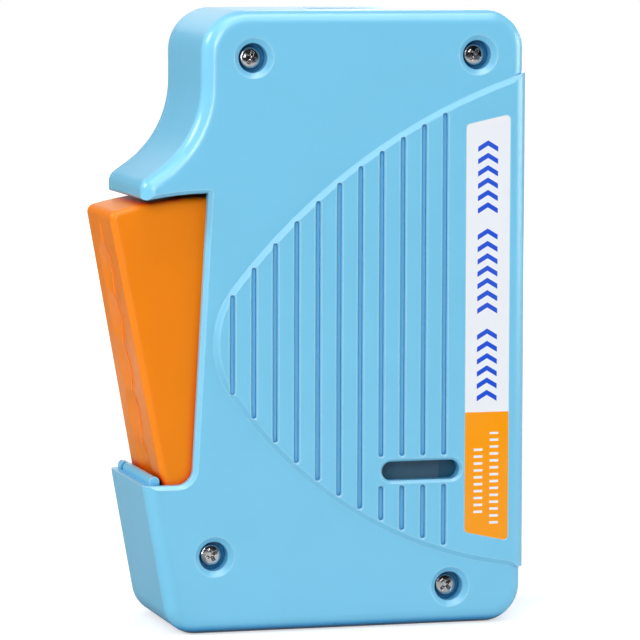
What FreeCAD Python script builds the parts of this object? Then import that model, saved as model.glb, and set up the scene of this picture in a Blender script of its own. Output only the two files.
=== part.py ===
import FreeCAD, Part
import math
import os
from FreeCAD import Vector

# Fibre optic cleaning cassette: a moulded case with a squeeze lever that
# winds a cleaning tape past an aperture in the top wall and opens its shutter.
# Millimetres. X to the right, Y from the front face to the rear, Z up.
# The origin is under the middle of the part, on the face that it stands on.

# Case outline
CASE_HEIGHT = 115.0
CASE_RIGHT = 38.7
CASE_DEPTH = 30.8
NECK_X = -23.0
SHOULDER_DROP = 23.3
LIP_X = -34.5
LIP_DROP = 8.05
LIP_THICK = 3.32
SHELF_X = -34.2
SHELF_Z = 27.9
FOOT_X = -29.2
CORNER_R = 7.0
TOP_LEFT_R = 8.0
SHOULDER_R = 19.2
LIP_CORNER_R = 2.4
BEND_R = 20.0
FOOT_R = 6.0
EDGE_ROUND = 3.0
WALL = 2.2

# Joint between the two shells
REAR_DEPTH = 4.9
SEAM_GAP = 0.2
TONGUE_HEIGHT = 1.6
TONGUE_INSET = 0.9
TONGUE_CLEARANCE = 0.1

# Raised arch panel
PANEL_PROUD = 0.6
ARCH_TOP = (-17.8, 64.0)
ARCH_NOSE = (-21.25, 53.6)
ARCH_BOTTOM = (-17.1, 43.0)
ARCH_RIGHT_TOP_DROP = 11.7
ARCH_RIGHT_BOTTOM_Z = 10.4
ARCH_TOP_SAG = 5.2
ARCH_BOTTOM_SAG = 6.95
ARCH_BEVEL = 1.0
GROOVE_COUNT = 11
GROOVE_FIRST_X = -17.75
GROOVE_PITCH = 4.07
GROOVE_WIDTH = 0.8
GROOVE_DEPTH = 0.75
GROOVE_CHAMFER = 0.25
GROOVE_TOP_MARGIN = 1.5
GROOVE_BOTTOM_MARGIN = 1.9
SLOT_END_FLAT = 0.04

# Window that shows the tape left on the supply reel
WINDOW_X = 18.55
WINDOW_LENGTH = 15.1
WINDOW_HEIGHT = 3.6
WINDOW_CHAMFER = 0.5
WINDOW_LAND = 0.9
LENS_THICK = 1.0
LENS_MARGIN = 1.1
LENS_STOP_GAP = 0.1

# Label strip
LABEL_LEFT = 27.0
LABEL_RIGHT = 35.5
LABEL_TOP_LEFT_DROP = 9.55
LABEL_TOP_RIGHT_DROP = 7.7
LABEL_BOTTOM_LEFT_Z = 17.5
LABEL_BOTTOM_RIGHT_Z = 15.6
LABEL_CORNER_R = 0.8
LABEL_THICK = 0.15

# Case screws: the lower left one goes through the lever's pivot boss
PIVOT_X = -21.0
PIVOT_Z = 14.5
SCREW_LEFT_X = -13.6
SCREW_LEFT_DROP = 8.7
SCREW_RIGHT_X = 29.4
SCREW_RIGHT_DROP = 8.4
SCREW_LOW_X = 24.4
SCREW_LOW_Z = 7.2
HEAD_R = 1.95
HEAD_HEIGHT = 1.6
HEAD_DEPTH = 2.6
SHANK_R = 1.1
SHANK_LENGTH = 14.0
RECESS_SIZE = 2.3
RECESS_WIDTH = 0.55
RECESS_DEPTH = 1.0
WELL_R = 2.75
WELL_WALL = 1.45
WELL_FLOOR = 1.8
DISH_R = 3.75
DISH_DEPTH = 0.9
BOSS_R = 3.2

# Squeeze lever
LEVER_GAP = 1.0
LEVER_STROKE = 10.5
PULL_TOP_X = -39.6
PULL_TOP_DROP = 5.65
PULL_LOW_INSET = 4.0
LEVER_INNER_TOP_SIDE = 0.6
LEVER_INNER_LOW_SIDE = 0.2
LEVER_NARROWING = 2.2
LEVER_WALL = 2.0
LEVER_CHEEK = 2.4
LEVER_CORNER_R = 1.5
LEVER_EDGE_R = 1.3
LEVER_SIDE_GAP = 0.4
LEVER_HEEL_R = 2.0
LEVER_POCKET_R = 1.0
SCALLOP_COUNT = 5
SCALLOP_PITCH = 9.0
SCALLOP_FIRST_Z = 30.8
SCALLOP_R = 24.0
SCALLOP_DEPTH = 0.75
HUB_R = 6.2
WEB_INSET = 0.3
WEB_RIGHT_ANGLE = 66.0
WEB_LOW_ANGLE = 220.0
SPRING_ROOM = 3.9
JOURNAL_R = 3.6
RUNNING_FIT = 0.05
SPRING_BAY_R = 7.6

# Notch round the lever
NOTCH_TOP_X = -22.0
NOTCH_LOW_X = -25.0
NOTCH_CORNER_R = 3.0
NOTCH_CHAMFER = 0.7
LIP_TIP_R = 0.9
TIP_BULGE_ANGLE = 225.0
LIP_FLOOR_WALL = 1.8
LIP_FLOOR_END_X = -25.5
COLLAR_GAP = 0.4
COLLAR_WIDTH = 1.9
COLLAR_RISE = 1.5
COLLAR_INSET = 0.3
COLLAR_R = 0.8

# Lever arm layer, toothed sector and drive gear
ARM_THICK = 2.6
ARM_REAR_GAP = 1.0
MODULE = 1.1
GEAR_TEETH = 16
TAKE_UP_DROP = 34.09
ADDENDUM_SHARE = 0.85
DEDENDUM_SHARE = 1.15
PRESSURE_ANGLE = 20.0
BACKLASH = 0.24
TOOTH_ROOT_LAP = 0.1
FLANK_STEPS = 4
GEAR_ANGLE = 21.75
SECTOR_BAND = 13.7
SECTOR_LEAD_ANGLE = 3.6
ARM_HALF = 1.9
ARM_PATH = ((0.09, 0.6), (0.02, 0.74), (0.3, 0.87), (0.92, 0.955))
GEAR_PROUD = 0.2
PAWL_PIN_R = 0.9
PAWL_EYE_R = 1.6
PAWL_PIN_ORBIT = 7.5
PAWL_BITE_SHARE = 0.6
PAWL_PLAY_ANGLE = 1.0

# Shutter and its drive
SHUTTER_PIN_SIDE = 14.6
SHUTTER_PIN_DROP = 4.15
SHUTTER_PIN_R = 1.5
SHUTTER_PIN_PROUD = 0.1
SHUTTER_SLOT_PLAY = 0.25
SHUTTER_THICK = 1.4
SHUTTER_GAP = 0.25
SHUTTER_OVERLAP = 1.6
SHUTTER_FRONT_INSET = 0.7
SHUTTER_LEG_THICK = 1.6
SHUTTER_LEG_GAP = 0.4
SHUTTER_LEG_SIDE = 1.2
GUIDE_GAP = 0.4
GUIDE_THICK = 0.9
GUIDE_HEIGHT = 1.8
APERTURE_X = 7.0
APERTURE_LENGTH = 14.0
APERTURE_INSET = 1.5
APERTURE_CORNER_SHARE = 2 / 7

# Tape, reels and rollers
TAPE_SIDE_GAP = 0.7
TAPE_THICK = 0.2
TAPE_GAP = 0.06
TAPE_SHUTTER_GAP = 1.15
FLANGE_THICK = 1.2
FLANGE_GAP = 0.2
SPINDLE_R = 3.0
SPINDLE_BORE_R = 1.6
SUPPLY_X = 5.5
SUPPLY_Z = 29.4
SUPPLY_CORE_R = 6.0
SUPPLY_ROLL_R = 19.9
SUPPLY_FLANGE_R = 21.5
TAKE_UP_CORE_R = 5.2
TAKE_UP_ROLL_R = 9.0
TAKE_UP_FLANGE_R = 12.5
REEL_END_GAP = 0.25
REEL_STOP_WALL = 1.2
WASHER_R = 5.4
WASHER_THICK = 0.6
WASHER_GAP = 0.05
RATCHET_TEETH = 18
RATCHET_R = 5.6
RATCHET_DEPTH = 0.8
RATCHET_END_GAP = 0.8
ROLLER_R = 2.6
ROLLER_SPREAD = 11.2
ROLLER_PIN_R = 1.0
ROLLER_END_GAP = 0.3
HOLDER_LEG_GAP = 0.4
HOLDER_WALL = 1.5
HOLDER_END = 3.5
HOLDER_CORNER_R = 2.4
HOLDER_DEPTH = 8.2
HOLDER_TOP_GAP = 0.45
PAD_THICK = 1.8
PAD_GAP = 0.05
PAD_LENGTH = 13.6
POST_R = 2.6
POST_SPIGOT_R = 1.4
POST_SPIGOT_LENGTH = 1.2
POST_SPREAD = 8.0

# Springs and pawls
SPRING_WIRE_R = 0.45
SPRING_COIL_R = 5.6
SPRING_PITCH = 1.1
SPRING_TURNS = 2.25
SPRING_STEPS = 16
SPRING_SIDES = 8
SPRING_LEVER_LEG = 4.2
SPRING_CASE_LEG = 9.0
SPRING_STOP_WIDTH = 2.2
SPRING_STOP_GAP = 0.1
LEAF_THICK = 0.3
LEAF_PLAY = 0.1
LEAF_STAND = 0.5
LEAF_WIDTH = 1.8
LEAF_FOOT_DROP = 7.0
LEAF_FOOT_GAP = 0.5
LEAF_FOOT_WIDTH = 4.0

# Worked out from the values above: the outline, from the case's height
SHOULDER_Z = CASE_HEIGHT - SHOULDER_DROP
LIP_Z = SHOULDER_Z - LIP_DROP
TOP_INNER_Z = CASE_HEIGHT - WALL
ARCH_RIGHT_TOP_Z = CASE_HEIGHT - ARCH_RIGHT_TOP_DROP
LABEL_TOP_LEFT_Z = ARCH_RIGHT_TOP_Z - LABEL_TOP_LEFT_DROP
LABEL_TOP_RIGHT_Z = ARCH_RIGHT_TOP_Z - LABEL_TOP_RIGHT_DROP
PIVOT = (PIVOT_X, PIVOT_Z)
SUPPLY = (SUPPLY_X, SUPPLY_Z)
WINDOW_Z = SUPPLY_Z
SCREWS = (
    (SCREW_LEFT_X, CASE_HEIGHT - SCREW_LEFT_DROP),
    (SCREW_RIGHT_X, CASE_HEIGHT - SCREW_RIGHT_DROP),
    PIVOT,
    (SCREW_LOW_X, SCREW_LOW_Z),
)

# Layers through the depth, from the case's depth
HALF = CASE_DEPTH / 2
INNER_Y = HALF - WALL
FACE_Y = HALF + PANEL_PROUD
PARTING_Y = HALF - REAR_DEPTH
COLLAR_HALF = INNER_Y - COLLAR_INSET
SEAT_Y = -HALF + HEAD_DEPTH + HEAD_HEIGHT
WELL_END_Y = SEAT_Y + WELL_FLOOR
HUB_FRONT_Y = WELL_END_Y + SPRING_ROOM
LEVER_HALF_LOW = INNER_Y - LEVER_SIDE_GAP
LEVER_HALF_TOP = LEVER_HALF_LOW - LEVER_NARROWING
LEVER_POCKET_HALF = LEVER_HALF_TOP - LEVER_CHEEK
ARM_Y = (INNER_Y - ARM_REAR_GAP - ARM_THICK, INNER_Y - ARM_REAR_GAP)
SHUTTER_LEG_Y = (ARM_Y[0] - SHUTTER_LEG_GAP - SHUTTER_LEG_THICK, ARM_Y[0] - SHUTTER_LEG_GAP)
HOLDER_HALF = SHUTTER_LEG_Y[0] - HOLDER_LEG_GAP
SHUTTER_FRONT_Y = -HOLDER_HALF + SHUTTER_FRONT_INSET
TAPE_WIDTH = 2 * (HOLDER_HALF - HOLDER_WALL - TAPE_SIDE_GAP)
APERTURE_WIDTH = TAPE_WIDTH - 2 * APERTURE_INSET
APERTURE_R = APERTURE_WIDTH * APERTURE_CORNER_SHARE
REEL_HALF = TAPE_WIDTH / 2 + FLANGE_GAP
FLANGE_Y = REEL_HALF + FLANGE_THICK
RATCHET_THICK = ARM_Y[0] - GEAR_PROUD - RATCHET_END_GAP - FLANGE_Y
LEAF_Y = (FLANGE_Y + LEAF_STAND, FLANGE_Y + LEAF_STAND + LEAF_WIDTH)
REEL_STOP_R = SPINDLE_R + RUNNING_FIT + REEL_STOP_WALL

# Lever, gear and shutter, from the outline
LIP_RADIUS = math.hypot(LIP_X - PIVOT_X, LIP_Z - LIP_THICK - PIVOT_Z)
LEVER_RADIUS = LIP_RADIUS - LEVER_GAP
PULL_TOP_Z = LIP_Z - PULL_TOP_DROP
PULL_SLOPE = (SHELF_X + PULL_LOW_INSET - PULL_TOP_X) / (PULL_TOP_Z - SHELF_Z)
GEAR_REACH = (CASE_HEIGHT - TAKE_UP_DROP - PIVOT_Z) / math.cos(math.radians(GEAR_ANGLE))
SECTOR_TEETH = round(2 * GEAR_REACH / MODULE) - GEAR_TEETH
GEAR_R = MODULE * GEAR_TEETH / 2
SECTOR_R = MODULE * SECTOR_TEETH / 2
SECTOR_INNER_R = SECTOR_R - SECTOR_BAND
SHUTTER_TOP_Z = TOP_INNER_Z - SHUTTER_GAP
SHUTTER_BOTTOM_Z = SHUTTER_TOP_Z - SHUTTER_THICK
SHUTTER_PIN_RISE = SHUTTER_BOTTOM_Z - SHUTTER_PIN_DROP - PIVOT_Z
SHUTTER_PIN = (PIVOT_X + SHUTTER_PIN_SIDE, PIVOT_Z + SHUTTER_PIN_RISE)
PIN_REACH = math.hypot(SHUTTER_PIN_SIDE, SHUTTER_PIN_RISE)
PIN_ANGLE = math.atan2(SHUTTER_PIN_SIDE, SHUTTER_PIN_RISE)
PIN_END_ANGLE = PIN_ANGLE + math.radians(LEVER_STROKE)
SHUTTER_TRAVEL = PIN_REACH * (math.sin(PIN_END_ANGLE) - math.sin(PIN_ANGLE))
PIN_DROP = PIN_REACH * (math.cos(PIN_ANGLE) - math.cos(PIN_END_ANGLE))
TAPE_TOP_Z = SHUTTER_BOTTOM_Z - TAPE_SHUTTER_GAP
ROLLER_Z = TAPE_TOP_Z - TAPE_THICK - TAPE_GAP - ROLLER_R
ROLLER_LEFT = (APERTURE_X - ROLLER_SPREAD, ROLLER_Z)
ROLLER_RIGHT = (APERTURE_X + ROLLER_SPREAD, ROLLER_Z)


def polar(centre, radius, degrees):
    """Point at an angle from +Z towards +X about a centre."""
    turn = math.radians(degrees)
    return (centre[0] + radius * math.sin(turn), centre[1] + radius * math.cos(turn))


TAKE_UP = polar(PIVOT, GEAR_R + SECTOR_R, GEAR_ANGLE)
ROUNDING = 1e-6


def at(point, y=0.0):
    """Vector of an (x, z) pair at a depth."""
    return Vector(point[0], y, point[1])


def same(one, other):
    """Whether two lengths agree but for rounding."""
    return math.isclose(one, other, abs_tol=ROUNDING)


def corner_arc(here, before, after, radius):
    """Start, middle and end of the arc that rounds the corner between two neighbours."""
    to_last = (before - here).normalize()
    to_next = (after - here).normalize()
    half = to_last.getAngle(to_next) / 2
    reach = radius / math.tan(half)
    deep = radius / math.sin(half) - radius
    middle = (to_last + to_next).normalize()
    return here + to_last * reach, here + middle * deep, here + to_next * reach


def rounded_wire(corners):
    """Closed wire through (x, z, radius) corners, with an arc at each radius."""
    points = [at(corner) for corner in corners]
    edges = []
    ends = []
    for i, corner in enumerate(corners):
        after = points[(i + 1) % len(points)]
        ends.append(corner_arc(points[i], points[i - 1], after, corner[2]))
    for i, (start, middle, stop) in enumerate(ends):
        if corners[i][2] > 0:
            edges.append(Part.Arc(start, middle, stop).toShape())
        edges.append(Part.LineSegment(stop, ends[(i + 1) % len(ends)][0]).toShape())
    return Part.Wire(edges)


def along_y(wire, y0, y1):
    """Solid of a wire in the plane Y = 0, from one depth to another."""
    face = Part.Face(wire)
    face.translate(Vector(0, y0, 0))
    return face.extrude(Vector(0, y1 - y0, 0))


def rod(centre, radius, y0, y1):
    """Cylinder along Y."""
    return Part.makeCylinder(radius, y1 - y0, at(centre, y0), Vector(0, 1, 0))


def tube(centre, outer, inner, y0, y1):
    """Cylinder along Y with a bore."""
    return rod(centre, outer, y0, y1).cut(rod(centre, inner, y0, y1))


def block(x0, x1, y0, y1, z0, z1):
    """Box between two corners."""
    return Part.makeBox(x1 - x0, y1 - y0, z1 - z0, Vector(x0, y0, z0))


def flare(wire, grow, y0, y1):
    """Ruled solid from a wire at y1 to the same wire grown at y0."""
    wide = wire.makeOffset2D(grow)
    wide.translate(Vector(0, y0, 0))
    plain = wire.copy()
    plain.translate(Vector(0, y1, 0))
    return Part.makeLoft([wide, plain], True, True)


def mirrored(shape):
    """The shape on the other side of the middle plane."""
    return shape.mirror(Vector(0, 0, 0), Vector(0, 1, 0))


def union(shapes):
    """One shape of several that meet."""
    return shapes[0].multiFuse(list(shapes[1:])).removeSplitter()


def case_wire():
    """Outline of the case without the notch."""
    return rounded_wire([
        (CASE_RIGHT, 0.0, CORNER_R),
        (CASE_RIGHT, CASE_HEIGHT, CORNER_R),
        (NECK_X, CASE_HEIGHT, TOP_LEFT_R),
        (NECK_X, SHOULDER_Z, SHOULDER_R),
        (LIP_X, LIP_Z, LIP_CORNER_R),
        (SHELF_X, SHELF_Z, BEND_R),
        (FOOT_X, 0.0, FOOT_R),
    ])


def rounded_block(wire, half, radius):
    """Outline drawn out both ways from the middle plane, with rounded rims."""
    solid = along_y(wire, -half, half)
    rims = [edge for edge in solid.Edges if same(abs(edge.CenterOfMass.y), half)]
    return solid.makeFillet(radius, rims)


def arc_between(start, stop, sag):
    """Arc from one (x, z) point to another that bulges to the left by sag."""
    chord = at(stop) - at(start)
    side = Vector(-chord.z, 0, chord.x).normalize()
    middle = (at(start) + at(stop)) * 0.5 + side * sag
    return Part.Arc(at(start), middle, at(stop))


def arch_arcs():
    """The arch's upper and lower edges as arcs that end at the case's right side."""
    upper = arc_between(ARCH_TOP, (CASE_RIGHT, ARCH_RIGHT_TOP_Z), ARCH_TOP_SAG)
    lower = arc_between((CASE_RIGHT, ARCH_RIGHT_BOTTOM_Z), ARCH_BOTTOM, ARCH_BOTTOM_SAG)
    return upper, lower


def arch_wire():
    """Closed outline of the arch, run out past the case's right side."""
    upper, lower = arch_arcs()
    nose = Part.Arc(at(ARCH_BOTTOM), at(ARCH_NOSE), at(ARCH_TOP))
    past = CASE_RIGHT + PANEL_PROUD + EDGE_ROUND
    far_top = Vector(past, 0, ARCH_RIGHT_TOP_Z)
    far_bottom = Vector(past, 0, ARCH_RIGHT_BOTTOM_Z)
    return Part.Wire([
        nose.toShape(),
        upper.toShape(),
        Part.LineSegment(upper.EndPoint, far_top).toShape(),
        Part.LineSegment(far_top, far_bottom).toShape(),
        Part.LineSegment(far_bottom, lower.StartPoint).toShape(),
        lower.toShape(),
    ])


def arch_height(arc, x):
    """Height of an arch edge at a groove."""
    line = Part.LineSegment(Vector(x, 0, -CASE_HEIGHT), Vector(x, 0, 2 * CASE_HEIGHT))
    spots = arc.toShape().distToShape(line.toShape())[1]
    return spots[0][0].z


def arch_panel():
    """Skin that stands proud of the case inside the arch, round to the rear."""
    skin = rounded_block(case_wire().makeOffset2D(PANEL_PROUD), FACE_Y, EDGE_ROUND + PANEL_PROUD)
    wire = arch_wire()
    bevel = flare(wire, -ARCH_BEVEL, -FACE_Y, -HALF)
    middle = along_y(wire, -HALF, HALF)
    return skin.common(union([bevel, middle, mirrored(bevel)]))


def on_lip(x):
    """Point of the lip's underside at x."""
    return (x, PIVOT[1] + math.sqrt(LIP_RADIUS**2 - (x - PIVOT[0])**2))


def notch_wire():
    """Outline of the cut that the lever moves in."""
    far = SHELF_X - CASE_DEPTH
    top = on_lip(NOTCH_TOP_X)
    tip = on_lip(LIP_X + LIP_TIP_R)
    crown = on_lip((NOTCH_TOP_X + tip[0]) / 2)
    tip_end = (LIP_X, tip[1] + LIP_TIP_R)
    tip_bulge = polar((tip[0], tip_end[1]), LIP_TIP_R, TIP_BULGE_ANGLE)
    outer_top = at((far, tip_end[1]))
    outer_low = at((far, SHELF_Z))
    low_corner = at((NOTCH_LOW_X, SHELF_Z))
    start, swing, stop = corner_arc(low_corner, outer_low, at(top), NOTCH_CORNER_R)
    return Part.Wire([
        Part.Arc(at(top), at(crown), at(tip)).toShape(),
        Part.Arc(at(tip), at(tip_bulge), at(tip_end)).toShape(),
        Part.LineSegment(at(tip_end), outer_top).toShape(),
        Part.LineSegment(outer_top, outer_low).toShape(),
        Part.LineSegment(outer_low, start).toShape(),
        Part.Arc(start, swing, stop).toShape(),
        Part.LineSegment(stop, at(top)).toShape(),
    ])


def notch_cut():
    """Cut through the case for the lever, with chamfered mouths."""
    wire = notch_wire()
    mouth = flare(wire, NOTCH_CHAMFER, -HALF, -HALF + NOTCH_CHAMFER)
    return along_y(wire, -FACE_Y, FACE_Y), mouth, mirrored(mouth)


def lip_floor():
    """Wall under the lip, a clear gap above the lever's top."""
    def bearing(x):
        return math.degrees(math.asin((x - PIVOT[0]) / LIP_RADIUS))

    start = bearing(LIP_X + WALL / 2)
    stop = bearing(LIP_FLOOR_END_X)
    outer = LIP_RADIUS + LIP_FLOOR_WALL
    half = INNER_Y + WALL / 4
    ends = [polar(PIVOT, radius, turn) for radius, turn in (
        (LIP_RADIUS, start), (LIP_RADIUS, stop), (outer, stop), (outer, start))]
    middles = [polar(PIVOT, radius, (start + stop) / 2) for radius in (LIP_RADIUS, outer)]
    wire = Part.Wire([
        Part.Arc(at(ends[0]), at(middles[0]), at(ends[1])).toShape(),
        Part.LineSegment(at(ends[1]), at(ends[2])).toShape(),
        Part.Arc(at(ends[2]), at(middles[1]), at(ends[3])).toShape(),
        Part.LineSegment(at(ends[3]), at(ends[0])).toShape(),
    ])
    return along_y(wire, -half, half)


def collar():
    """Rounded rib on the low left wall that closes the gap to the pull face."""
    high = SHELF_Z + COLLAR_RISE
    low = SHELF_Z - 2 * WALL
    right = pull_x(high) - COLLAR_GAP
    left = right - COLLAR_WIDTH
    wire = rounded_wire([
        (left, low, 0.0),
        (left, high, COLLAR_R),
        (right, high, COLLAR_R),
        (right, low, 0.0),
    ])
    return along_y(wire, -COLLAR_HALF, COLLAR_HALF)


def hollow_case():
    """The whole case as one wall, with the panel, the notch and its rims."""
    body = rounded_block(case_wire(), HALF, EDGE_ROUND)
    cavity = along_y(case_wire().makeOffset2D(-WALL), -INNER_Y, INNER_Y)
    shell = body.fuse(arch_panel()).cut(cavity)
    return shell.cut(list(notch_cut())).multiFuse([lip_floor(), collar()])


def groove_span(x, upper, lower):
    """Bottom and top of the groove at x."""
    top = arch_height(upper, x) - GROOVE_TOP_MARGIN
    bottom = arch_height(lower, x) + GROOVE_BOTTOM_MARGIN
    if x < ARCH_TOP[0] + GROOVE_PITCH / 2:
        top = ARCH_TOP[1] - GROOVE_TOP_MARGIN
        bottom = ARCH_BOTTOM[1] + GROOVE_BOTTOM_MARGIN
    return bottom, top


def slot_wire(left, right, low, high):
    """Slot outline with round ends, each with a short flat."""
    radius = (min(right - left, high - low) - SLOT_END_FLAT) / 2
    return rounded_wire([
        (left, low, radius),
        (right, low, radius),
        (right, high, radius),
        (left, high, radius),
    ])


def groove_cutter(x, bottom, top):
    """Cutter with a flat floor and a chamfered rim for one stretch of groove in the front face."""
    half = GROOVE_WIDTH / 2
    wire = slot_wire(x - half, x + half, bottom - half, top + half)
    rim = flare(wire, GROOVE_CHAMFER, -FACE_Y, -FACE_Y + GROOVE_CHAMFER)
    return along_y(wire, -FACE_Y, -FACE_Y + GROOVE_DEPTH).fuse(rim)


def groove_cutters(with_window):
    """All grooves of one face, with a break where the window is."""
    upper, lower = arch_arcs()
    rim = WINDOW_HEIGHT / 2 + WINDOW_CHAMFER + WINDOW_LAND
    reach = WINDOW_LENGTH / 2 + WINDOW_CHAMFER
    cutters = []
    for i in range(GROOVE_COUNT):
        x = GROOVE_FIRST_X + i * GROOVE_PITCH
        bottom, top = groove_span(x, upper, lower)
        if with_window and abs(x - WINDOW_X) < reach + GROOVE_WIDTH:
            cutters.append(groove_cutter(x, WINDOW_Z + rim, top))
            cutters.append(groove_cutter(x, bottom, WINDOW_Z - rim))
        else:
            cutters.append(groove_cutter(x, bottom, top))
    return cutters


def window_wire():
    """Slot outline of the window."""
    half = WINDOW_LENGTH / 2
    high = WINDOW_HEIGHT / 2
    return slot_wire(WINDOW_X - half, WINDOW_X + half, WINDOW_Z - high, WINDOW_Z + high)


def window_cut():
    """Slot through the front wall with a chamfered rim."""
    wire = window_wire()
    rim = flare(wire, WINDOW_CHAMFER, -FACE_Y, -FACE_Y + WINDOW_CHAMFER)
    return [along_y(wire, -FACE_Y, -INNER_Y), rim]


def label_wire():
    """Outline of the label strip."""
    return rounded_wire([
        (LABEL_LEFT, LABEL_BOTTOM_LEFT_Z, LABEL_CORNER_R),
        (LABEL_RIGHT, LABEL_BOTTOM_RIGHT_Z, LABEL_CORNER_R),
        (LABEL_RIGHT, LABEL_TOP_RIGHT_Z, LABEL_CORNER_R),
        (LABEL_LEFT, LABEL_TOP_LEFT_Z, LABEL_CORNER_R),
    ])


def label():
    """Strip that lies flush in its recess."""
    return along_y(label_wire(), -FACE_Y, -FACE_Y + LABEL_THICK)


def screw_well(centre):
    """Cup behind the front wall for one screw."""
    return rod(centre, WELL_R + WELL_WALL, -INNER_Y - WALL / 2, WELL_END_Y)


def well_cut(centre):
    """Dish, bore and shank hole for one screw, from the front."""
    dish = Part.makeCone(
        DISH_R, WELL_R, DISH_DEPTH, at(centre, -HALF), Vector(0, 1, 0))
    return union([
        dish,
        rod(centre, WELL_R, -HALF, SEAT_Y),
        rod(centre, SHANK_R, SEAT_Y, WELL_END_Y),
    ])


def aperture_cut():
    """Opening with rounded corners through the top wall."""
    half = APERTURE_LENGTH / 2
    wide = APERTURE_WIDTH / 2
    cut = block(
        APERTURE_X - half, APERTURE_X + half, -wide, wide, TOP_INNER_Z, CASE_HEIGHT)
    middle_z = TOP_INNER_Z + WALL / 2
    corners = [edge for edge in cut.Edges if same(edge.CenterOfMass.z, middle_z)]
    return cut.makeFillet(APERTURE_R, corners)


def shutter_span():
    """Left and right ends of the shutter's plate at rest."""
    half = APERTURE_LENGTH / 2 + SHUTTER_OVERLAP
    return APERTURE_X - half, APERTURE_X + half


def front_guide():
    """Rib under the top wall in front of the shutter."""
    left, right = shutter_span()
    rear = SHUTTER_FRONT_Y - GUIDE_GAP
    return block(
        left, right + SHUTTER_TRAVEL, rear - GUIDE_THICK, rear,
        TOP_INNER_Z - GUIDE_HEIGHT, TOP_INNER_Z + WALL / 2)


def rear_guide():
    """Rib of the rear shell behind the shutter."""
    left, right = shutter_span()
    front = SHUTTER_LEG_Y[1] + GUIDE_GAP
    return block(
        left, right + SHUTTER_TRAVEL, front, PARTING_Y + GUIDE_THICK,
        TOP_INNER_Z - GUIDE_HEIGHT, TOP_INNER_Z + TONGUE_INSET / 2)


def holder_posts():
    """Stand-offs on the front wall that carry the pad holder."""
    posts = []
    for x in (APERTURE_X - POST_SPREAD / 2, APERTURE_X + POST_SPREAD / 2):
        centre = (x, holder_post_z())
        posts.append(rod(centre, POST_R, -INNER_Y - WALL / 2, -HOLDER_HALF))
        posts.append(rod(centre, POST_SPIGOT_R, -HOLDER_HALF, -HOLDER_HALF + POST_SPIGOT_LENGTH))
    return posts


def holder_span():
    """Bottom and top of the pad holder."""
    top = SHUTTER_BOTTOM_Z - HOLDER_TOP_GAP
    return top - HOLDER_DEPTH, top


def holder_post_z():
    """Height of the pad holder's sockets."""
    return holder_span()[0] + POST_R


def spring_stop():
    """Rib on the floor that the return spring's lower leg rests on."""
    right = PIVOT[0] + SPRING_CASE_LEG - SPRING_WIRE_R
    high = PIVOT[1] - SPRING_COIL_R - SPRING_WIRE_R - SPRING_STOP_GAP
    return block(
        right - SPRING_STOP_WIDTH, right, -INNER_Y - WALL / 2, HUB_FRONT_Y - SPRING_WIRE_R,
        WALL / 2, high)


def reel_stop(centre, reel_front):
    """Tube on the front wall that keeps a reel on its spindle."""
    return tube(centre, REEL_STOP_R, SPINDLE_R + RUNNING_FIT, -INNER_Y - WALL / 2, reel_front)


def front_half(shape):
    """What lies in front of the parting plane."""
    far = 3 * CASE_HEIGHT
    return shape.common(block(-far, far, -far, PARTING_Y - SEAM_GAP / 2, -far, far))


def rear_half(shape):
    """What lies behind the parting plane."""
    far = 3 * CASE_HEIGHT
    return shape.common(block(-far, far, PARTING_Y + SEAM_GAP / 2, far, -far, far))


def tongue_ring(grow, height):
    """Band inside the wall at the parting plane."""
    outer = along_y(
        case_wire().makeOffset2D(grow - TONGUE_INSET),
        PARTING_Y - height, PARTING_Y + SEAM_GAP / 2)
    inner = along_y(
        case_wire().makeOffset2D(-WALL), PARTING_Y - height, PARTING_Y + SEAM_GAP / 2)
    return outer.cut(inner)


def front_shell(case):
    """Deep front moulding."""
    shell = front_half(case).cut(tongue_ring(TONGUE_CLEARANCE, TONGUE_HEIGHT + TONGUE_CLEARANCE))
    added = [screw_well(centre) for centre in SCREWS]
    added += holder_posts()
    added += [front_guide(), spring_stop()]
    added.append(reel_stop(SUPPLY, -REEL_HALF - REEL_END_GAP))
    added.append(reel_stop(TAKE_UP, -FLANGE_Y - WASHER_THICK - 2 * WASHER_GAP))
    cuts = [well_cut(centre) for centre in SCREWS]
    cuts += window_cut() + groove_cutters(True)
    cuts += [label(), aperture_cut()]
    return shell.multiFuse(added).cut(cuts)


def rear_boss(centre):
    """Boss with a pilot hole that a case screw bites into."""
    radius = JOURNAL_R if centre == PIVOT else BOSS_R
    boss = rod(centre, radius, WELL_END_Y, INNER_Y + WALL / 2)
    return boss.cut(rod(centre, SHANK_R, WELL_END_Y, WELL_END_Y + SHANK_LENGTH - WELL_FLOOR))


def spindle(centre, shoulder_y):
    """Hollow spindle with a shoulder for one reel."""
    post = rod(centre, SPINDLE_R, -FLANGE_Y - 2 * WALL, INNER_Y + WALL / 2)
    shoulder = rod(centre, WASHER_R, shoulder_y, INNER_Y + WALL / 2)
    bore = rod(centre, SPINDLE_BORE_R, -FLANGE_Y - 2 * WALL, INNER_Y)
    return post.fuse(shoulder).cut(bore)


def rear_shell(case):
    """Shallow rear cover with the bosses and spindles."""
    tongue = tongue_ring(0.0, TONGUE_HEIGHT).cut(notch_cut()[0])
    added = [tongue, rear_guide()]
    added += [rear_boss(centre) for centre in SCREWS]
    added.append(spindle(SUPPLY, FLANGE_Y + WASHER_THICK + 2 * WASHER_GAP))
    added.append(spindle(TAKE_UP, ARM_Y[1] + REEL_END_GAP))
    cuts = [mirrored(cutter) for cutter in groove_cutters(False)]
    return rear_half(case).multiFuse(added).cut(cuts)


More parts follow.
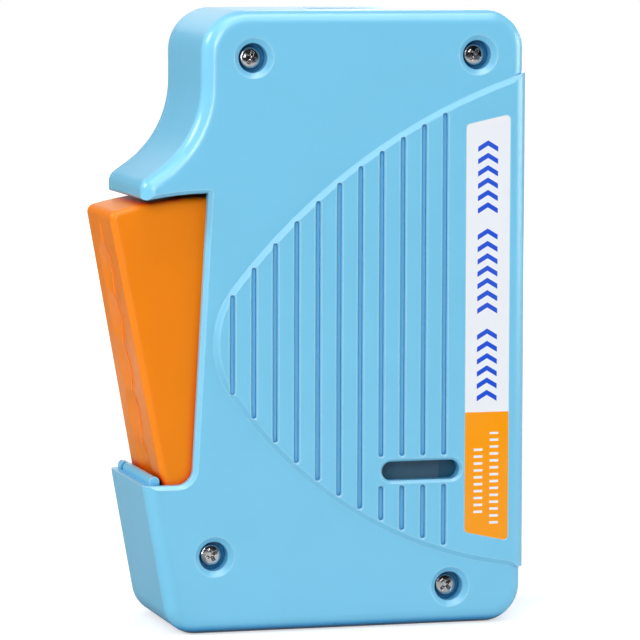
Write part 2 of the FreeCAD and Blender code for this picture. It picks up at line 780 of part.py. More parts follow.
def window_lens():
    """Clear strip behind the window, clear of the supply reel's stop."""
    half = WINDOW_LENGTH / 2 + LENS_MARGIN
    high = WINDOW_HEIGHT / 2 + LENS_MARGIN
    strip = block(
        WINDOW_X - half, WINDOW_X + half, -INNER_Y, -INNER_Y + LENS_THICK,
        WINDOW_Z - high, WINDOW_Z + high)
    return strip.cut(rod(SUPPLY, REEL_STOP_R + LENS_STOP_GAP, -INNER_Y, -INNER_Y + LENS_THICK))


def case_screw(centre):
    """Pan-head screw with a cross recess."""
    top = SEAT_Y - HEAD_HEIGHT
    head = rod(centre, HEAD_R, top, SEAT_Y)
    rim = [edge for edge in head.Edges if same(edge.CenterOfMass.y, top)]
    head = head.makeFillet(HEAD_HEIGHT / 2, rim)
    shank = rod(centre, SHANK_R, SEAT_Y, SEAT_Y + SHANK_LENGTH)
    half = RECESS_SIZE / 2
    thin = RECESS_WIDTH / 2
    x, z = centre
    bars = [
        block(x - half, x + half, top, top + RECESS_DEPTH, z - thin, z + thin),
        block(x - thin, x + thin, top, top + RECESS_DEPTH, z - half, z + half),
    ]
    return head.fuse(shank).cut(bars).removeSplitter()


def case_screws():
    """The four screws, as separate solids."""
    return Part.makeCompound([case_screw(centre) for centre in SCREWS])


def pull_x(z):
    """Where the pull face is at a height."""
    return PULL_TOP_X + (PULL_TOP_Z - z) * PULL_SLOPE


def lever_half(z):
    """Half the lever's width at a height."""
    share = (z - SHELF_Z) / (PULL_TOP_Z - SHELF_Z)
    return LEVER_HALF_LOW - share * LEVER_NARROWING


def lever_taper():
    """Wedge that narrows the lever towards its top."""
    low = -HUB_R
    high = CASE_HEIGHT
    corners = [
        Vector(0, -lever_half(low), low),
        Vector(0, lever_half(low), low),
        Vector(0, lever_half(high), high),
        Vector(0, -lever_half(high), high),
    ]
    face = Part.Face(Part.makePolygon(corners + corners[:1]))
    face.translate(Vector(-CASE_HEIGHT, 0, 0))
    return face.extrude(Vector(2 * CASE_HEIGHT, 0, 0))


def lever_body():
    """Outer form of the lever: pull face, curved top and tapered cheeks."""
    over = PIVOT[1] + LEVER_RADIUS + HUB_R
    low = PIVOT[1] + HUB_R
    web_r = HUB_R - WEB_INSET
    wire = rounded_wire([
        (pull_x(over), over, 0.0),
        (PIVOT[0] + LEVER_INNER_TOP_SIDE, over, 0.0),
        (PIVOT[0] + LEVER_INNER_LOW_SIDE, SHELF_Z + HUB_R, 0.0),
        (*polar(PIVOT, web_r, WEB_RIGHT_ANGLE), 0.0),
        (*polar(PIVOT, web_r, WEB_LOW_ANGLE), 0.0),
        (pull_x(low), low, LEVER_HEEL_R),
    ])
    half = INNER_Y - LEVER_SIDE_GAP
    solid = along_y(wire, -half, half).common(rod(PIVOT, LEVER_RADIUS, -half, half))
    return round_lever(solid.common(lever_taper()))


def round_lever(solid):
    """Rounded top corner and rounded edges along the pull face and top."""
    top = [edge for edge in solid.Edges if is_top_corner(edge)]
    solid = solid.makeFillet(LEVER_CORNER_R, top)
    rims = [edge for edge in solid.Edges if is_lever_rim(edge)]
    return solid.makeFillet(LEVER_EDGE_R, rims)


def is_top_corner(edge):
    """The edge across the lever where the pull face meets the curved top."""
    middle = edge.CenterOfMass
    return same(middle.y, 0.0) and middle.z > PULL_TOP_Z - HUB_R and middle.x < LIP_X


def is_lever_rim(edge):
    """The edges on either cheek along the pull face, the corner and the top."""
    middle = edge.CenterOfMass
    off_side = abs(middle.y) > LEVER_POCKET_HALF
    reach = math.hypot(middle.x - PIVOT[0], middle.z - PIVOT[1])
    on_pull = middle.x < pull_x(middle.z) + LEVER_CORNER_R and middle.z > SHELF_Z
    on_top = reach > LEVER_RADIUS - LEVER_CORNER_R / 2
    return off_side and (on_pull or on_top) and edge.Length > LEVER_EDGE_R


def scallops():
    """Shallow finger scallops down the middle of the pull face."""
    slope = math.atan(PULL_SLOPE)
    away = SCALLOP_R - SCALLOP_DEPTH
    balls = []
    for i in range(SCALLOP_COUNT):
        z = SCALLOP_FIRST_Z + i * SCALLOP_PITCH
        centre = Vector(pull_x(z) - away * math.cos(slope), 0, z - away * math.sin(slope))
        balls.append(Part.makeSphere(SCALLOP_R, centre))
    return balls


def lever_pocket():
    """Hollow inside the lever, open towards the case."""
    low = SHELF_Z - LEVER_WALL
    high = PIVOT[1] + LEVER_RADIUS
    inset = LEVER_WALL / math.cos(math.atan(PULL_SLOPE))
    wire = rounded_wire([
        (pull_x(low) + inset, low, LEVER_POCKET_R),
        (PIVOT[0] + 2 * HUB_R, low, 0.0),
        (PIVOT[0] + 2 * HUB_R, high, 0.0),
        (pull_x(high) + inset, high, 0.0),
    ])
    space = along_y(wire, -LEVER_POCKET_HALF, LEVER_POCKET_HALF)
    inner = rod(PIVOT, LEVER_RADIUS - LEVER_WALL, -HALF, HALF)
    return space.common(inner)


def involute_half(teeth, radius):
    """Half of a tooth's angle, in degrees, at a radius."""
    pitch_r = MODULE * teeth / 2
    base_r = pitch_r * math.cos(math.radians(PRESSURE_ANGLE))
    at_pitch = math.pi / (2 * teeth) - BACKLASH / (4 * pitch_r)
    angle = math.acos(min(1.0, base_r / radius))
    pitch_angle = math.radians(PRESSURE_ANGLE)
    spread = math.tan(pitch_angle) - pitch_angle - math.tan(angle) + angle
    return math.degrees(at_pitch + spread)


def tooth_points(teeth, bearing, centre):
    """Points up one flank of a tooth and down the other."""
    pitch_r = MODULE * teeth / 2
    root = pitch_r - DEDENDUM_SHARE * MODULE
    tip = pitch_r + ADDENDUM_SHARE * MODULE
    steps = [root + (tip - root) * k / FLANK_STEPS for k in range(FLANK_STEPS + 1)]
    up = [polar(centre, radius, bearing - involute_half(teeth, radius)) for radius in steps]
    down = [polar(centre, radius, bearing + involute_half(teeth, radius)) for radius in steps]
    return up + down[::-1]


def closed_prism(points, y0, y1):
    """Prism over a closed polygon of (x, z) points."""
    loop = [at(point) for point in points]
    return along_y(Part.makePolygon(loop + loop[:1]), y0, y1)


def ring_sector(inner, outer, start, stop, y0, y1):
    """Part of a ring about the lever's pivot."""
    ends = [polar(PIVOT, radius, turn) for radius, turn in (
        (inner, start), (outer, start), (outer, stop), (inner, stop))]
    middle = (start + stop) / 2
    wire = Part.Wire([
        Part.LineSegment(at(ends[0]), at(ends[1])).toShape(),
        Part.Arc(at(ends[1]), at(polar(PIVOT, outer, middle)), at(ends[2])).toShape(),
        Part.LineSegment(at(ends[2]), at(ends[3])).toShape(),
        Part.Arc(at(ends[3]), at(polar(PIVOT, inner, middle)), at(ends[0])).toShape(),
    ])
    return along_y(wire, y0, y1)


def toothed_sector():
    """Sector on the lever that turns the drive gear."""
    root = SECTOR_R - DEDENDUM_SHARE * MODULE
    pitch = 360.0 / SECTOR_TEETH
    last = math.ceil(SECTOR_LEAD_ANGLE / pitch)
    first = -math.ceil((LEVER_STROKE + SECTOR_LEAD_ANGLE) / pitch)
    start = math.degrees(math.atan2(LEVER_INNER_LOW_SIDE - LEVER_WALL / 2, SECTOR_R))
    stop = GEAR_ANGLE + SECTOR_LEAD_ANGLE + pitch
    plates = [ring_sector(SECTOR_INNER_R, root + TOOTH_ROOT_LAP, start, stop, *ARM_Y)]
    for k in range(first, last):
        bearing = GEAR_ANGLE + (k + 0.5) * pitch
        plates.append(closed_prism(tooth_points(SECTOR_TEETH, bearing, PIVOT), *ARM_Y))
    return plates


def ribbon(points, half, y0, y1):
    """Bar of constant width along a chain of (x, z) points, round at the bends."""
    pieces = [rod(point, half, y0, y1) for point in points]
    for start, stop in zip(points, points[1:]):
        ahead = (at(stop) - at(start)).normalize()
        aside = Vector(-ahead.z, 0, ahead.x) * half
        corners = [at(start) + aside, at(stop) + aside, at(stop) - aside, at(start) - aside]
        pieces.append(along_y(Part.makePolygon(corners + corners[:1]), y0, y1))
    return union(pieces)


def shutter_arm():
    """Arm from the lever up past the upper left boss to the shutter's pin."""
    points = [
        (PIVOT[0] + across * SHUTTER_PIN_SIDE, PIVOT[1] + up * SHUTTER_PIN_RISE)
        for across, up in ARM_PATH
    ]
    return ribbon(points + [SHUTTER_PIN], ARM_HALF, *ARM_Y)


def squeeze_lever():
    """Lever with its hub, its toothed sector and its shutter arm."""
    body = lever_body().cut(scallops()).cut(lever_pocket())
    hub = rod(PIVOT, HUB_R, HUB_FRONT_Y, ARM_Y[1])
    lever = body.multiFuse([hub, shutter_arm()] + toothed_sector())
    behind = rod(PIVOT, 2 * HUB_R, ARM_Y[1], HALF)
    bay = rod(PIVOT, SPRING_BAY_R, -HALF, HUB_FRONT_Y)
    bore = rod(PIVOT, JOURNAL_R + RUNNING_FIT, -HALF, HALF)
    pin_hole = rod(SHUTTER_PIN, SHUTTER_PIN_R, *ARM_Y)
    return lever.cut([bay, bore, pin_hole, behind]).removeSplitter()


def shutter_pin():
    """Steel pin in the lever's arm."""
    return rod(SHUTTER_PIN, SHUTTER_PIN_R, SHUTTER_LEG_Y[0] - SHUTTER_PIN_PROUD, ARM_Y[1])


def spring_section(centre, ahead, aside):
    """Section of the spring's wire, square to its path."""
    across = ahead.cross(aside)
    points = []
    for k in range(SPRING_SIDES):
        turn = 2 * math.pi * k / SPRING_SIDES
        points.append(centre + (aside * math.cos(turn) + across * math.sin(turn)) * SPRING_WIRE_R)
    return Part.makePolygon(points + points[:1])


def return_spring():
    """Torsion spring round the pivot boss, one leg on the lever, one on the case."""
    near = HUB_FRONT_Y - SPRING_WIRE_R - REEL_END_GAP
    count = round(SPRING_TURNS * SPRING_STEPS)
    sections = []
    for k in range(count + 1):
        turn = math.pi + 2 * math.pi * k / SPRING_STEPS
        aside = Vector(math.cos(turn), 0, math.sin(turn))
        ahead = Vector(-math.sin(turn), 0, math.cos(turn))
        centre = at(PIVOT, near - SPRING_PITCH * k / SPRING_STEPS) + aside * SPRING_COIL_R
        if k == 0:
            sections.append(spring_section(centre - ahead * SPRING_LEVER_LEG, ahead, aside))
        sections.append(spring_section(centre, ahead, aside))
    sections.append(spring_section(centre + ahead * SPRING_CASE_LEG, ahead, aside))
    return Part.makeLoft(sections, True, True)


def shutter_leg_low():
    """Lower end of the shutter's leg."""
    return SHUTTER_PIN[1] - PIN_DROP - SHUTTER_PIN_R - SHUTTER_SLOT_PLAY - SHUTTER_LEG_SIDE


def shutter():
    """Plate under the top wall with a slotted leg for the lever's pin."""
    left, right = shutter_span()
    slot_half = SHUTTER_PIN_R + SHUTTER_SLOT_PLAY
    leg_left = SHUTTER_PIN[0] - slot_half - SHUTTER_LEG_SIDE
    leg_right = SHUTTER_PIN[0] + slot_half + SHUTTER_LEG_SIDE
    leg_low = shutter_leg_low()
    clear_y = APERTURE_WIDTH / 2 + SHUTTER_OVERLAP
    plate = block(
        left, right, SHUTTER_FRONT_Y, SHUTTER_LEG_Y[1], SHUTTER_BOTTOM_Z, SHUTTER_TOP_Z)
    tail = block(leg_left, left, clear_y, SHUTTER_LEG_Y[1], SHUTTER_BOTTOM_Z, SHUTTER_TOP_Z)
    leg = block(leg_left, leg_right, *SHUTTER_LEG_Y, leg_low, SHUTTER_BOTTOM_Z)
    slot = block(
        SHUTTER_PIN[0] - slot_half, SHUTTER_PIN[0] + slot_half, *SHUTTER_LEG_Y,
        SHUTTER_PIN[1] - PIN_DROP - slot_half, SHUTTER_PIN[1] + slot_half)
    return union([plate, tail, leg]).cut(slot)


def pad_top():
    """Height of the pad's top, just under the tape."""
    return TAPE_TOP_Z - TAPE_THICK - PAD_GAP


def pad_holder():
    """Platen with side walls that carry the rollers' pins."""
    low, high = holder_span()
    left = ROLLER_LEFT[0] - HOLDER_END
    right = ROLLER_RIGHT[0] + HOLDER_END
    wall = block(left, right, HOLDER_HALF - HOLDER_WALL, HOLDER_HALF, low, high)
    middle_y = HOLDER_HALF - HOLDER_WALL / 2
    edges = [edge for edge in wall.Edges if same(edge.CenterOfMass.y, middle_y)]
    wall = wall.makeFillet(HOLDER_CORNER_R, edges)
    half = PAD_LENGTH / 2
    web = block(
        APERTURE_X - half, APERTURE_X + half, -HOLDER_HALF + HOLDER_WALL / 2,
        HOLDER_HALF - HOLDER_WALL / 2, low, pad_top() - PAD_THICK)
    holder = union([wall, mirrored(wall), web] + leaf_foot())
    return holder.cut([roller_pins(), hold_pawl()] + holder_posts())


def cleaning_pad():
    """Rubber pad on the platen."""
    half = PAD_LENGTH / 2
    top = pad_top()
    return block(
        APERTURE_X - half, APERTURE_X + half, -TAPE_WIDTH / 2, TAPE_WIDTH / 2,
        top - PAD_THICK, top)


def guide_roller(centre):
    """Plastic roller on its pin."""
    half = HOLDER_HALF - HOLDER_WALL - ROLLER_END_GAP
    return tube(centre, ROLLER_R, ROLLER_PIN_R + RUNNING_FIT, -half, half)


def roller_pins():
    """The two steel pins, as separate solids."""
    return Part.makeCompound([
        rod(centre, ROLLER_PIN_R, -HOLDER_HALF, HOLDER_HALF)
        for centre in (ROLLER_LEFT, ROLLER_RIGHT)
    ])


def tangent_normal(first, first_r, second, second_r, side):
    """Unit normal of the outer tangent of two circles, on one side of them."""
    across = at(second) - at(first)
    reach = across.Length
    ahead = across * (1 / reach)
    aside = Vector(ahead.z, 0, -ahead.x) * side
    lean = (first_r - second_r) / reach
    return aside * math.sqrt(1 - lean * lean) + ahead * lean


def tape_side(offset):
    """Points and arc middles of the tape's path at a distance from the rollers."""
    roller = ROLLER_R + TAPE_GAP + offset
    supply = SUPPLY_ROLL_R + TAPE_GAP + offset
    wound = TAKE_UP_ROLL_R + TAPE_GAP + offset
    up = Vector(0, 0, 1)
    right = tangent_normal(SUPPLY, supply, ROLLER_RIGHT, roller, 1)
    left = tangent_normal(ROLLER_LEFT, roller, TAKE_UP, wound, 1)
    return [
        at(SUPPLY) + right * supply,
        at(ROLLER_RIGHT) + right * roller,
        at(ROLLER_RIGHT) + (right + up).normalize() * roller,
        at(ROLLER_RIGHT) + up * roller,
        at(ROLLER_LEFT) + up * roller,
        at(ROLLER_LEFT) + (left + up).normalize() * roller,
        at(ROLLER_LEFT) + left * roller,
        at(TAKE_UP) + left * wound,
    ]


def tape_edges(points):
    """Lines and arcs through one side of the tape's path."""
    return [
        Part.LineSegment(points[0], points[1]).toShape(),
        Part.Arc(points[1], points[2], points[3]).toShape(),
        Part.LineSegment(points[3], points[4]).toShape(),
        Part.Arc(points[4], points[5], points[6]).toShape(),
        Part.LineSegment(points[6], points[7]).toShape(),
    ]


def tape_strand():
    """Free tape from the supply roll over the pad to the take-up roll."""
    inner = tape_side(0.0)
    outer = tape_side(TAPE_THICK)
    edges = tape_edges(inner)
    edges.append(Part.LineSegment(inner[7], outer[7]).toShape())
    edges += tape_edges(outer)
    edges.append(Part.LineSegment(outer[0], inner[0]).toShape())
    wire = Part.Wire(Part.__sortEdges__(edges))
    half = TAPE_WIDTH / 2 - FLANGE_GAP
    return along_y(wire, -half, half)


def supply_reel():
    """Core with one flange, so that the roll shows through the window."""
    core = rod(SUPPLY, SUPPLY_CORE_R, -REEL_HALF, REEL_HALF)
    flange = rod(SUPPLY, SUPPLY_FLANGE_R, REEL_HALF, FLANGE_Y)
    bore = rod(SUPPLY, SPINDLE_R + RUNNING_FIT, -FLANGE_Y, FLANGE_Y)
    return core.fuse(flange).cut(bore).removeSplitter()


def supply_roll():
    """Fresh tape on the supply core."""
    half = TAPE_WIDTH / 2
    return tube(SUPPLY, SUPPLY_ROLL_R, SUPPLY_CORE_R, -half, half)


def take_up_reel():
    """Core with two flanges and a ratchet ring behind."""
    core = rod(TAKE_UP, TAKE_UP_CORE_R, -REEL_HALF, REEL_HALF)
    front = rod(TAKE_UP, TAKE_UP_FLANGE_R, -FLANGE_Y, -REEL_HALF)
    rear = rod(TAKE_UP, TAKE_UP_FLANGE_R, REEL_HALF, FLANGE_Y)
    bore = rod(TAKE_UP, SPINDLE_R + RUNNING_FIT, -FLANGE_Y, FLANGE_Y + RATCHET_THICK)
    return union([core, front, rear, ratchet_ring()]).cut(bore)


def ratchet_ring():
    """Saw teeth that are driven anticlockwise, seen from the front."""
    points = []
    for k in range(RATCHET_TEETH):
        bearing = 360.0 * k / RATCHET_TEETH
        points.append(polar(TAKE_UP, RATCHET_R, bearing))
        points.append(polar(TAKE_UP, RATCHET_R - RATCHET_DEPTH, bearing))
    return closed_prism(points[::-1], FLANGE_Y, FLANGE_Y + RATCHET_THICK)


def take_up_roll():
    """Used tape on the take-up core."""
    half = TAPE_WIDTH / 2
    return tube(TAKE_UP, TAKE_UP_ROLL_R, TAKE_UP_CORE_R, -half, half)


def pawl_bearing():
    """Angle about the take-up axis of the drive pawl's pin."""
    return 180.0 + GEAR_ANGLE + 90.0


def pawl_pin():
    """Centre of the drive pawl's pin."""
    return polar(TAKE_UP, PAWL_PIN_ORBIT, pawl_bearing())


def drive_gear():
    """Gear on the take-up spindle with a pin for the drive pawl."""
    toward = GEAR_ANGLE + 180.0
    points = []
    for k in range(GEAR_TEETH):
        points += tooth_points(GEAR_TEETH, toward + 360.0 * k / GEAR_TEETH, TAKE_UP)
    disc = closed_prism(points, ARM_Y[0] - GEAR_PROUD, ARM_Y[1])
    pin = rod(pawl_pin(), PAWL_PIN_R, FLANGE_Y + REEL_END_GAP, ARM_Y[0])
    bore = rod(TAKE_UP, SPINDLE_R + RUNNING_FIT, ARM_Y[0] - GEAR_PROUD, ARM_Y[1])
    return disc.fuse(pin).cut(bore)


def drive_pawl():
    """Pawl on the gear's pin with its beak behind a steep face of the ratchet ring."""
    pitch = 360.0 / RATCHET_TEETH
    steep = math.floor(pawl_bearing() / pitch - 1) * pitch
    y0 = FLANGE_Y + REEL_END_GAP
    y1 = ARM_Y[0] - GEAR_PROUD - REEL_END_GAP
    low = RATCHET_R - PAWL_BITE_SHARE * RATCHET_DEPTH
    high = PAWL_PIN_ORBIT - PAWL_PIN_R
    beak = closed_prism([
        polar(TAKE_UP, low, steep + PAWL_PLAY_ANGLE),
        polar(TAKE_UP, high, steep + PAWL_PLAY_ANGLE),
        polar(TAKE_UP, PAWL_PIN_ORBIT + PAWL_PIN_R, pawl_bearing()),
        polar(TAKE_UP, high, pawl_bearing()),
        polar(TAKE_UP, high, steep + pitch / 2),
    ], y0, y1)
    eye = rod(pawl_pin(), PAWL_EYE_R, y0, y1)
    return eye.fuse(beak).cut(rod(pawl_pin(), PAWL_PIN_R + RUNNING_FIT, y0, y1)).removeSplitter()


def leaf_x():
    """Where the hold pawl's leaf stands, just right of a steep ratchet face."""
    return TAKE_UP[0] + LEAF_PLAY + LEAF_THICK / 2


def leaf_foot():
    """Foot under the pad holder that steps back below the shutter's leg."""
    top = holder_span()[0]
    low = top - LEAF_FOOT_DROP
    left = leaf_x() - LEAF_FOOT_WIDTH / 2
    right = leaf_x() + LEAF_FOOT_WIDTH / 2
    front = HOLDER_HALF - HOLDER_WALL
    return [
        block(left, right, front, HOLDER_HALF, low, top),
        block(left, right, front, LEAF_Y[1], low, shutter_leg_low() - LEAF_FOOT_GAP),
    ]


def hold_pawl():
    """Spring leaf in the holder's foot that drops in front of a steep ratchet face."""
    x = leaf_x()
    low = TAKE_UP[1] + RATCHET_R - PAWL_BITE_SHARE * RATCHET_DEPTH
    high = shutter_leg_low() - 2 * LEAF_FOOT_GAP
    return block(x - LEAF_THICK / 2, x + LEAF_THICK / 2, *LEAF_Y, low, high)


def drag_washer(centre, y0):
    """Felt washer that drags on a reel."""
    return tube(centre, WASHER_R, SPINDLE_R + RUNNING_FIT, y0, y0 + WASHER_THICK)


def drag_washers():
    """Washer behind the supply reel and washer in front of the take-up reel."""
    return Part.makeCompound([
        drag_washer(SUPPLY, FLANGE_Y + WASHER_GAP),
        drag_washer(TAKE_UP, -FLANGE_Y - WASHER_GAP - WASHER_THICK),
    ])


def build():
    """Every piece by its node's name."""
    case = hollow_case()
    return {
        "front_shell": front_shell(case),
        "rear_shell": rear_shell(case),
        "case_screws": case_screws(),
        "label": label(),
        "window_lens": window_lens(),
        "squeeze_lever": squeeze_lever(),
        "shutter_pin": shutter_pin(),
        "return_spring": return_spring(),
        "shutter": shutter(),
        "pad_holder": pad_holder(),
        "cleaning_pad": cleaning_pad(),
        "guide_roller_left": guide_roller(ROLLER_LEFT),
        "guide_roller_right": guide_roller(ROLLER_RIGHT),
        "roller_pins": roller_pins(),
        "tape_strand": tape_strand(),
        "supply_reel": supply_reel(),
        "supply_roll": supply_roll(),
        "take_up_reel": take_up_reel(),
        "take_up_roll": take_up_roll(),
        "drive_gear": drive_gear(),
        "drive_pawl": drive_pawl(),
        "hold_pawl": hold_pawl(),
        "drag_washers": drag_washers(),
    }


os.makedirs("parts", exist_ok=True)
for name, shape in build().items():
    shape.exportStep(os.path.join("parts", name + ".step"))
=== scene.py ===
"""Dresses the fibre optic cleaning cassette: case, lever, label, window, screws and the tape inside."""
import logging
import math
from dataclasses import dataclass
from enum import Enum

import bmesh
import bpy
from mathutils import Matrix, Vector


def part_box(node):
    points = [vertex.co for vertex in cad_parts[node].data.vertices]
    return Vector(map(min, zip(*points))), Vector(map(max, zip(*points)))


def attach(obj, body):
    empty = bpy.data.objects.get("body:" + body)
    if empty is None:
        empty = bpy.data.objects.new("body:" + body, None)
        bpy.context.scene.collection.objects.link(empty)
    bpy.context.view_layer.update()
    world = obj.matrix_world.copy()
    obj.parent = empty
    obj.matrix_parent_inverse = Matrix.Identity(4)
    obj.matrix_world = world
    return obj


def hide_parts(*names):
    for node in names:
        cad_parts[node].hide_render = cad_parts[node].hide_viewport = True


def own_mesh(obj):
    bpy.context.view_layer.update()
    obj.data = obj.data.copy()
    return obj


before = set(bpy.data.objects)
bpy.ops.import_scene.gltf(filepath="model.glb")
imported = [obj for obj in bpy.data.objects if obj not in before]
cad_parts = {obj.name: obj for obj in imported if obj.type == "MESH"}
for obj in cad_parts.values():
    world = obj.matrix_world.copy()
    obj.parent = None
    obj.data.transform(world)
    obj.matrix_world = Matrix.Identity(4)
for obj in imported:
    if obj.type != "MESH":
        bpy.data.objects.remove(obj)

MM = 0.001
LOG = logging.getLogger("cassette")

MERGE_DISTANCE = 0.0005 * MM
FLAT_DEGREES = 0.5
CORNER_DEGREES = 40.0
ROUND_SEGMENTS = 4
LARGE_FACE_WEIGHT = 100
MATTE_ROUGHNESS = 0.9
WHITE = (1.0, 1.0, 1.0, 1.0)
UP = Vector((0.0, 0.0, 1.0))

FLOAT = "NodeSocketFloat"
VECTOR = "NodeSocketVector"
WHOLE = "NodeSocketInt"
GEOMETRY = "NodeSocketGeometry"

Colour = tuple[float, float, float]
Point = tuple[float, float, float]


class Body(Enum):
    """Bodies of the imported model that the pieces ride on."""

    CASE = "case"
    LEVER = "lever"
    SHUTTER = "shutter_slide"
    DRIVE = "drive"
    TAKE_UP = "take_up"
    SUPPLY = "supply"
    ROLLER_LEFT = "roller_left"
    ROLLER_RIGHT = "roller_right"


class Slot(Enum):
    """Material slots of the record."""

    CASE = "case_plastic"
    LEVER = "lever_plastic"
    LABEL = "label_film"
    LENS = "lens_plastic"
    SCREW = "screw_steel"
    PIN = "pin_steel"
    SPRING = "spring_steel"
    INNER = "inner_plastic"
    REEL = "reel_plastic"
    PAD = "pad_rubber"
    TAPE = "tape_cloth"
    FELT = "felt"


def srgb(red: int, green: int, blue: int) -> Colour:
    """Linear colour of an 8-bit display colour.

    Args:
        red: Red, 0 to 255.
        green: Green, 0 to 255.
        blue: Blue, 0 to 255.

    Returns:
        The linear red, green and blue.
    """
    def linear(value: int) -> float:
        """Linear level of one channel."""
        share = value / 255
        return share / 12.92 if share <= 0.04045 else ((share + 0.055) / 1.055) ** 2.4

    return linear(red), linear(green), linear(blue)


class Graph:
    """Short-hand for building one node tree.

    Attributes:
        tree: The tree that is filled.
    """

    # Sockets of a Mix node that mixes colours.
    MIX_FACTOR, MIX_FIRST, MIX_SECOND, MIX_RESULT = 0, 6, 7, 2

    def __init__(self, tree: bpy.types.NodeTree) -> None:
        """Starts on an empty tree.

        Args:
            tree: The tree to fill.
        """
        self.tree = tree
        tree.nodes.clear()

    def add(
            self, kind: str, inputs: dict[str | int, object] | None = None,
            **settings: object) -> bpy.types.Node:
        """Adds a node and connects or sets its inputs.

        Args:
            kind: Node type name.
            inputs: Value or source socket for each input, by name or index.
            **settings: Node properties.

        Returns:
            The new node.
        """
        node = self.tree.nodes.new(kind)
        for name, value in settings.items():
            setattr(node, name, value)
        for key, value in (inputs or {}).items():
            if isinstance(value, bpy.types.NodeSocket):
                self.tree.links.new(value, node.inputs[key])
            else:
                node.inputs[key].default_value = value
        return node

    def join(self, node: bpy.types.Node, **sources: bpy.types.NodeSocket) -> None:
        """Links sockets to a node's inputs.

        Args:
            node: The node.
            **sources: Source of each input, with underscores for spaces.
        """
        for key, source in sources.items():
            self.tree.links.new(source, node.inputs[key.replace("_", " ")])

    def math(
            self, operation: str, first: object, second: object = 0.0,
            clamp: bool = False) -> bpy.types.NodeSocket:
        """Adds a Math node.

        Args:
            operation: Its operation.
            first: First value or socket.
            second: Second value or socket.
            clamp: Whether the result is kept between 0 and 1.

        Returns:
            The result's socket.
        """
        node = self.add("ShaderNodeMath", {0: first, 1: second}, operation=operation, use_clamp=clamp)
        return node.outputs[0]

    def blend(self, factor: object, first: object, second: object) -> bpy.types.NodeSocket:
        """Adds a colour mix.

        Args:
            factor: Share of the second colour.
            first: First colour or socket.
            second: Second colour or socket.

        Returns:
            The mixed colour's socket.
        """
        ends = [end if isinstance(end, bpy.types.NodeSocket) else (*end, 1.0) for end in (first, second)]
        node = self.add("ShaderNodeMix", {
            self.MIX_FACTOR: factor, self.MIX_FIRST: ends[0], self.MIX_SECOND: ends[1]}, data_type="RGBA")
        return node.outputs[self.MIX_RESULT]

    def ramp(
            self, value: object, low: float, high: float,
            start: float = 0.0, stop: float = 1.0) -> bpy.types.NodeSocket:
        """Adds a clamped linear change of range.

        Args:
            value: Value or socket to change.
            low: Where the result is start.
            high: Where the result is stop.
            start: Result at low.
            stop: Result at high.

        Returns:
            The result's socket.
        """
        node = self.add("ShaderNodeMapRange", {0: value, 1: low, 2: high, 3: start, 4: stop}, clamp=True)
        return node.outputs[0]


TreeParts = tuple[Graph, bpy.types.Node, bpy.types.Node]


def open_tree(
        name: str, inputs: dict[str, str], outputs: dict[str, str],
        kind: str = "ShaderNodeTree") -> TreeParts:
    """Opens a new node group with named sockets.

    Args:
        name: Group name.
        inputs: Socket type of each input.
        outputs: Socket type of each output.
        kind: Type of its tree.

    Returns:
        The graph, its input node and its output node.
    """
    tree = bpy.data.node_groups.new(name, kind)
    for label, socket in inputs.items():
        tree.interface.new_socket(label, in_out="INPUT", socket_type=socket)
    for label, socket in outputs.items():
        tree.interface.new_socket(label, in_out="OUTPUT", socket_type=socket)
    graph = Graph(tree)
    return graph, graph.add("NodeGroupInput"), graph.add("NodeGroupOutput")


